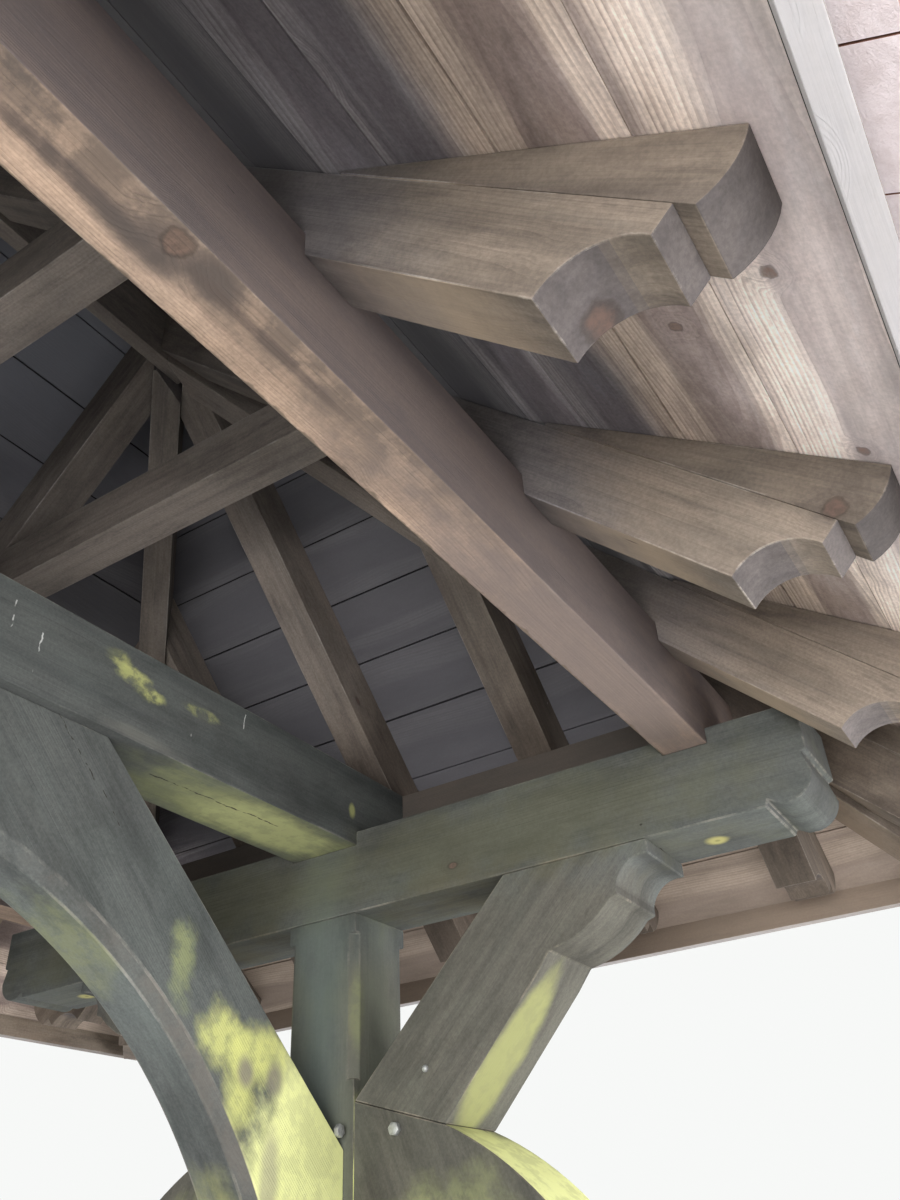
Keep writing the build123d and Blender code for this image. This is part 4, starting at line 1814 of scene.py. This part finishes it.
FRAME_WOOD = WoodFinish(
    "frame_timber", early=(0.112, 0.117, 0.110), late=(0.069, 0.072, 0.068),
    stain=(0.049, 0.052, 0.053), film=(0.106, 0.120, 0.112), bare=(0.25, 0.235, 0.21),
    ring=0.0055, contrast=0.25, belts=0.35, streaks=0.40, weathering=0.5, scuffing=0.30,
    knots=0.05,
    end=(0.070, 0.072, 0.070),
    patches=(
        # Greener film on the posts, with painted light that makes them lighter.
        Patch((0.145, 0.178, 0.150), (1.337, 0.0, 1.9), (0.13, 0.13, 0.7), strength=0.7,
              ragged=0.8),
        Patch((0.125, 0.130, 0.085), (1.35, 0.55, 2.34), (0.3, 0.6, 0.12), strength=0.4,
              ragged=1.8),
        # Painted shade, a little browner: darker side beams and post tops under the roof.
        Patch((0.86, 0.81, 0.70), (1.337, 0.0, 2.35), (0.12, 1.20, 0.12), strength=1.0, ragged=0.3,
              blend="MULTIPLY", square=True),
        Patch((1.08, 0.97, 0.85), (1.337, 0.45, 1.80), (0.12, 0.36, 0.40), strength=1.0, ragged=0.3,
              blend="MULTIPLY", rim=1.0, square=True),
        Patch((0.148, 0.126, 0.106), (1.0, 0.07, 1.75), (0.6, 0.03, 0.7), (0.5, 0.72, -0.5),
              0.45, 1.8, grit=0.5),
        Patch(SUNLIT_ALGAE, (1.16, 0.078, 1.62), (0.205, 0.03, 0.30), ALONG, 0.92, 1.0,
              grit=0.15, rim=0.75),
        *(Patch(colour, (x, 0.078, z), (wide, 0.03, high), ALONG, strength, ragged, grit=grit)
          for colour, x, z, wide, high, strength, ragged, grit in (
              (ALGAE, 0.985, 1.905, 0.085, 0.062, 0.85, 1.2, 0.3),
              (ALGAE, 0.880, 1.925, 0.055, 0.060, 0.75, 1.6, 0.4),
              (ALGAE, 0.935, 1.825, 0.050, 0.070, 0.80, 1.5, 0.3),
              ((0.30, 0.33, 0.15), 0.750, 2.045, 0.036, 0.075, 0.60, 2.2, 0.7),
              ((0.205, 0.185, 0.150), 0.949, 1.868, 0.026, 0.034, 0.85, 0.9, 0.0),
              ((0.205, 0.185, 0.150), 1.032, 1.864, 0.026, 0.036, 0.80, 0.9, 0.0),
              ((0.30, 0.27, 0.215), 1.032, 1.70, 0.030, 0.085, 0.60, 1.6, 0.0))),
        # Painted light: the arch braces' undersides brighter, as if lit from below.
        Patch((1.30, 1.34, 1.34), (0.62, 0.0, 2.0), (0.32, 0.12, 0.32), (0.6, 0, -0.8), 1.0, 0.3,
              blend="MULTIPLY"),
        Patch(THIN_ALGAE, (0.54, 0.03, 2.04), (0.14, 0.07, 0.08), (0.6, 0, -0.8), 0.50, 1.6,
              grit=0.5),
        Patch(SHADED_ALGAE, (0.97, 0.0, 1.53), (0.14, 0.12, 0.17), (0.75, 0, -0.65), 0.7, 1.4,
              grit=0.4),
        Patch(SHADED_ALGAE, (1.330, 0.430, 1.90), (0.062, 0.20, 0.18), (0, 0.70, -0.72), 0.90, 0.6,
              grit=0.15, rim=0.8),
        Patch(THIN_ALGAE, (1.30, 0.33, 1.57), (0.10, 0.17, 0.13), ACROSS, 0.85, 1.2, grit=0.5),
        Patch(SUNLIT_ALGAE, (1.337, 0.50, 1.62), (0.16, 0.30, 0.24), (0, 0.86, 0.5), 0.92, 0.6,
              grit=0.2, rim=0.8),
        Patch(THIN_ALGAE, (1.280, 0.10, 2.03), (0.020, 0.03, 0.09), (0.5, 0.8, 0), 0.5, 1.0,
              grit=0.5),
        *(Patch(colour, (x, 0.10, z), (wide, 0.03, high), ALONG, strength, ragged, grit=grit)
          for colour, x, z, wide, high, strength, ragged, grit in (
              (ALGAE, 0.478, 2.574, 0.034, 0.016, 0.50, 2.6, 0.8),
              (ALGAE, 0.525, 2.552, 0.040, 0.018, 0.60, 2.6, 0.8),
              (ALGAE, 0.575, 2.530, 0.040, 0.014, 0.65, 2.6, 0.8),
              (ALGAE, 0.700, 2.545, 0.060, 0.012, 0.30, 2.8, 0.9),
              ((0.17, 0.165, 0.145), 0.56, 2.428, 0.095, 0.016, 0.50, 1.8, 0.0),
              (ALGAE, 1.245, 2.500, 0.013, 0.020, 0.5, 0.8, 0.3))),
        Patch(THIN_ALGAE, (1.00, 0.01, PLATE_UNDER), (0.40, 0.11, 0.03), DOWN, 0.85, 0.9,
              grit=0.25),
        Patch((0.52, 0.53, 0.24), (1.05, 0.02, PLATE_UNDER), (0.22, 0.060, 0.03), DOWN, 0.62, 1.2,
              grit=0.3),
        Patch((0.45, 0.41, 0.15), (1.377, 0.958, 2.25), (0.024, 0.024, 0.02), DOWN, 0.8, 1.0),
        Patch((0.20, 0.19, 0.07), (1.377, 0.958, 2.25), (0.006, 0.006, 0.02), DOWN, 0.7, 0.5),
    ),
    lines=(
        Line((0.674, -0.010, 2.416), (1.05, -0.030, 2.416), 0.005),
        Line((1.262, -0.8386, 2.280), (1.3618, -0.8417, 2.25), 0.008),
        Line((0.371, -0.075, 2.430), (0.561, -0.075, 2.255), 0.003),
        Line((0.30, -0.1, 2.50), (0.304, -0.1, 2.54), 0.003, (0.6, 0.6, 0.58)),
        Line((0.235, -0.1, 2.52), (0.238, -0.1, 2.575), 0.004, (0.5, 0.5, 0.48)),
        Line((0.84, -0.1, 2.56), (0.846, -0.1, 2.60), 0.003, (0.6, 0.6, 0.58)),
    ))
PLATE_WOOD = WoodFinish(
    "plate_timber", early=(0.44, 0.310, 0.225), late=(0.27, 0.178, 0.125),
    stain=(0.130, 0.100, 0.085), film=(0.215, 0.168, 0.134), bare=(0.36, 0.29, 0.23),
    ring=0.0040, contrast=0.50, belts=0.15, wander=0.03, streaks=0.40, weathering=0.40,
    scuffing=0.35, knots=0.05,
    patches=(
        # Painted shade: the plates' upright faces darker than their undersides, nearly black at the
        # side plates.
        Patch((0.098, 0.087, 0.094), (0.0, 0.96, 2.53), (2.4, 0.2, 0.5), ALONG, 0.80, 0.5),
        Patch((0.052, 0.049, 0.045), (1.47, 0.0, 2.53), (0.2, 1.8, 0.5), ACROSS, 0.90, 0.5),
        *(Patch(colour, (x, y, PLATE_UNDER), (wide, deep, 0.02), DOWN, strength, ragged,
                mirrored=False, grit=grit)
          for colour, x, y, wide, deep, strength, ragged, grit in (
              ((0.125, 0.096, 0.078), -0.20, -1.010, 0.80, 0.060, 0.88, 1.6, 0.45),
              ((0.085, 0.066, 0.058), -0.33, -0.960, 0.13, 0.012, 0.9, 1.3, 0.2),
              ((0.085, 0.068, 0.060), -0.235, -0.962, 0.070, 0.030, 0.9, 1.2, 0.15),
              ((0.085, 0.068, 0.060), -0.165, -0.985, 0.040, 0.028, 0.85, 1.2, 0.2),
              ((0.090, 0.068, 0.058), -0.06, -0.976, 0.15, 0.008, 0.85, 1.3, 0.2),
              ((0.085, 0.070, 0.062), -0.43, -0.990, 0.05, 0.024, 0.8, 1.2, 0.3))),
        # Painted shade: the front plate's underside darker towards its right end.
        Patch((0.165, 0.132, 0.122), (0.85, -0.96, PLATE_UNDER), (0.66, 0.10, 0.03), DOWN, 0.85,
              0.9, mirrored=False),
    ),
    lines=(
        Line((-0.200, -1.01, 2.551), (-0.175, -1.01, 2.548), 0.004, (0.07, 0.06, 0.055)),
        Line((-0.60, -0.9115, 2.416), (1.30, -0.9115, 2.416), 0.008, (0.14, 0.105, 0.08)),
    ),
    marked=(Knot((-0.2203, -0.9888, 2.416), 0.022),))
RAFTER_WOOD = WoodFinish(
    "rafter_timber", early=(0.262, 0.212, 0.168), late=(0.140, 0.110, 0.090),
    stain=(0.104, 0.084, 0.072), film=(0.212, 0.182, 0.152), bare=(0.50, 0.44, 0.38),
    ring=0.005, contrast=0.34, belts=0.35, streaks=0.4, weathering=0.40, scuffing=0.45, knots=0.05,
    # The rafters' sawn ends are dark end grain with painted shade on them.
    end=(0.108, 0.096, 0.100),
    patches=(
        # Painted shade: darker and bluer inside the roof.
        Patch((0.88, 0.92, 1.0), ROOF_SHADE_CENTRE, (1.62, 1.16, 1.10), strength=1.0, ragged=0.35,
              blend="MULTIPLY"),
        # Painted light: the rafters' undersides near the eaves lighter, as if lit from below.
        Patch((0.43, 0.325, 0.230), (0.0, 1.14, 2.50), (2.6, 0.120, 0.35), (0, 0.59, -0.81), 0.65,
              0.8, grit=0.2, square=True),
        # Painted shade: darker and bluer over the front and back plates.
        Patch((0.64, 0.69, 0.82), (0.0, 0.95, 2.70), (1.5, 0.22, 0.50), strength=1.0, ragged=0.6,
              blend="MULTIPLY", square=True),
        # Painted shade: the rafters of the side slopes darker.
        Patch((0.50, 0.48, 0.47), (1.90, 0.0, 2.50), (0.48, 1.25, 0.60), strength=1.0, ragged=0.4,
              blend="MULTIPLY", rim=0.9, square=True),
    ),
    lines=(Line((0.0105, -1.4586, 2.3106), (0.0389, -1.4732, 2.3252), 0.005),
           Line((0.0389, -1.4732, 2.3252), (0.0608, -1.4657, 2.3177), 0.005),
           Line((-0.0235, -1.4687, 2.3207), (0.0415, -1.4617, 2.3137), 0.003, (0.62, 0.60, 0.58))),
    marked=(Knot((0.034, -1.335, 2.316), 0.034), Knot((0.51, -1.454, 2.3235), 0.020)),
    heart=(0.140, 0.090, 0.072))
FASCIA_WOOD = WoodFinish(
    "fascia_board", early=(0.235, 0.185, 0.140), late=(0.150, 0.110, 0.085),
    stain=(0.110, 0.082, 0.066), film=(0.225, 0.195, 0.160), bare=(0.42, 0.38, 0.34),
    ring=0.007, contrast=0.35, streaks=0.5, weathering=0.4, knots=0.08,
    patches=(
        Patch((0.27, 0.205, 0.158), (2.142, 0.0, 2.36), (0.010, 1.9, 0.4), ACROSS, 0.65, 0.2,
              rim=1.0),
        # Painted light over paler weathered wood: the next two patches make the front fascia's
        # inner face and the fascias' undersides nearly white.
        Patch((0.80, 0.78, 0.80), (0.0, -1.582, 2.30), (2.6, 0.010, 0.4), ALONG, 0.85, 0.2,
              mirrored=False, rim=1.0),
        Patch((0.62, 0.60, 0.62), (0.0, 0.0, 2.26), (2.6, 2.2, 0.3), DOWN, 0.85, 0.2),
    ))
BOARD_WOOD = WoodFinish(
    "board_timber", early=(0.70, 0.565, 0.465), late=(0.27, 0.185, 0.150),
    stain=(0.190, 0.140, 0.130), film=(0.42, 0.36, 0.335), bare=(0.52, 0.45, 0.41),
    ring=0.006, contrast=0.64, belts=0.60, heartwood=0.70, wander=0.08, streaks=0.30,
    weathering=0.15, scuffing=0.35, knots=0.06,
    patches=(
        # Painted shade: the boards inside the roof darker and bluer.
        Patch((0.58, 0.67, 0.82), ROOF_SHADE_CENTRE, (1.46, 0.985, 1.2), strength=1.0, ragged=0.05,
              blend="MULTIPLY", rim=1.24, square=True),
        # Painted shade: the boards deep inside the roof nearly black.
        Patch((0.105, 0.102, 0.112), ROOF_SHADE_CENTRE, (1.46, 0.83, 1.2), strength=0.86, ragged=0.05,
              rim=1.15, square=True),
        # Painted shade: darker and bluer up along the ridge.
        Patch((0.21, 0.215, 0.245), (0.0, 0.0, 3.50), (0.95, 0.62, 0.50), strength=0.80,
              ragged=0.3),
        # Painted shade: the boards of the side eaves darker.
        Patch((0.225, 0.178, 0.138), (2.05, 0.0, 2.45), (0.32, 1.60, 0.60), strength=0.66,
              ragged=0.4, rim=1.0, square=True),
        # Painted light: the front eave's boards much brighter and bluer towards the fascia.
        Patch((2.05, 2.20, 2.40), (0.50, -1.64, 2.30), (1.0, 0.30, 0.42), strength=1.0,
              ragged=0.5, mirrored=False, blend="MULTIPLY"),
        Patch((0.80, 0.76, 0.75), (0.50, -1.62, 2.30), (1.1, 0.135, 0.42), strength=0.22,
              ragged=0.6, mirrored=False, grit=0.3, rim=0.9),
    ),
    marked=(Knot((0.245, -1.3665, 2.481), 0.012), Knot((0.148, -1.495, 2.387), 0.012),
            Knot((0.488, -1.511, 2.375), 0.011)),
    heart=(0.28, 0.19, 0.155))
TILE_CLAY = ClayFinish("tile_clay", clay=(0.330, 0.150, 0.098), burnt=(0.165, 0.080, 0.062),
                       soot=(0.085, 0.066, 0.056), growth=(0.135, 0.130, 0.080),
                       lichen=(0.27, 0.26, 0.20), bloom_and_light=(0.96, 0.87, 0.90))
ZINC = PlainFinish("galvanised_steel", (0.46, 0.47, 0.46), (0.27, 0.27, 0.26), 0.6, 0.55, 90.0)
MORTAR = PlainFinish("bedding_mortar", (0.36, 0.34, 0.31), (0.26, 0.25, 0.23), 0.0, 0.95, 60.0)
FELT = PlainFinish("roofing_felt", (0.020, 0.019, 0.018), (0.030, 0.028, 0.026), 0.0, 0.95, 40.0)


def dress_frame() -> None:
    """Dresses the posts, sills, beams and braces."""
    timbers = Timbers(FRAME_WOOD.material(), Slot.TIMBER, arris=0.0035)
    for side, sx in SIDES:
        timbers.build(f"sill_{side}", Y)
        timbers.build(f"post_{side}", Z)
        timbers.build(f"side_beam_{side}", Y)
        timbers.build(f"arch_brace_{side}", Vector((sx, 0, -1)))
        for end, sy in ENDS:
            timbers.build(f"bracket_{end}_{side}", Vector((0, sy, 1)))
            timbers.build(f"strut_{end}_{side}", Vector((0, sy, -2.2)))
    timbers.build("tie_beam", X)


def dress_roof_timbers() -> None:
    """Dresses the plates, rafters, sprockets, hips, collars and ridge."""
    plates = Timbers(PLATE_WOOD.material(), Slot.TIMBER, arris=0.004, seed=4)
    for side, along in (("front", X), ("back", X), ("right", Y), ("left", Y)):
        plates.build(f"plate_{side}", along)
    rafters = Timbers(RAFTER_WOOD.material(), Slot.RAFTER, arris=0.0022, wave=0.0008, step=0.25)
    fascias = Timbers(FASCIA_WOOD.material(), Slot.RAFTER, arris=0.002, wave=0.0006, step=0.3)
    for side, out in (("back", Y), ("front", -Y), ("right", X), ("left", -X)):
        rafters.build(f"rafters_{side}", out - Z)
        rafters.build(f"sprockets_{side}", out - 0.85 * Z)
        fascias.build(f"fascia_{side}", out.cross(Z))
    for side, sx in SIDES:
        for end, sy in ENDS:
            rafters.build(f"hip_{end}_{side}", Vector((sx, sy, -1)))
    rafters.build("collars", Y)
    rafters.build("ridge_board", X)


def cover_roof() -> None:
    """Lays the boards, tiles and caps."""
    roof = Roof.from_frame()
    Boarding(roof, BOARD_WOOD.material(), FELT.material()).build()
    clay = TILE_CLAY.material()
    TileCoat(roof, clay).build()
    caps = Caps(clay, MORTAR.material())
    caps.build("ridge_tiles", (X,))
    caps.build("hip_tiles", tuple(Vector((sx, sy, 0)).normalized()
                                  for sx in (1, -1) for sy in (1, -1)))
    caps.point_ends(roof)


def main() -> None:
    """Builds everything."""
    logging.basicConfig(level=logging.INFO, format="%(name)s %(message)s")
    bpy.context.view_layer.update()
    noise.seed_set(WAVE_SEED)
    dress_frame()
    dress_roof_timbers()
    cover_roof()
    Bolts(ZINC.material()).build()
    Studio().build()


if __name__ == "__main__":
    main()
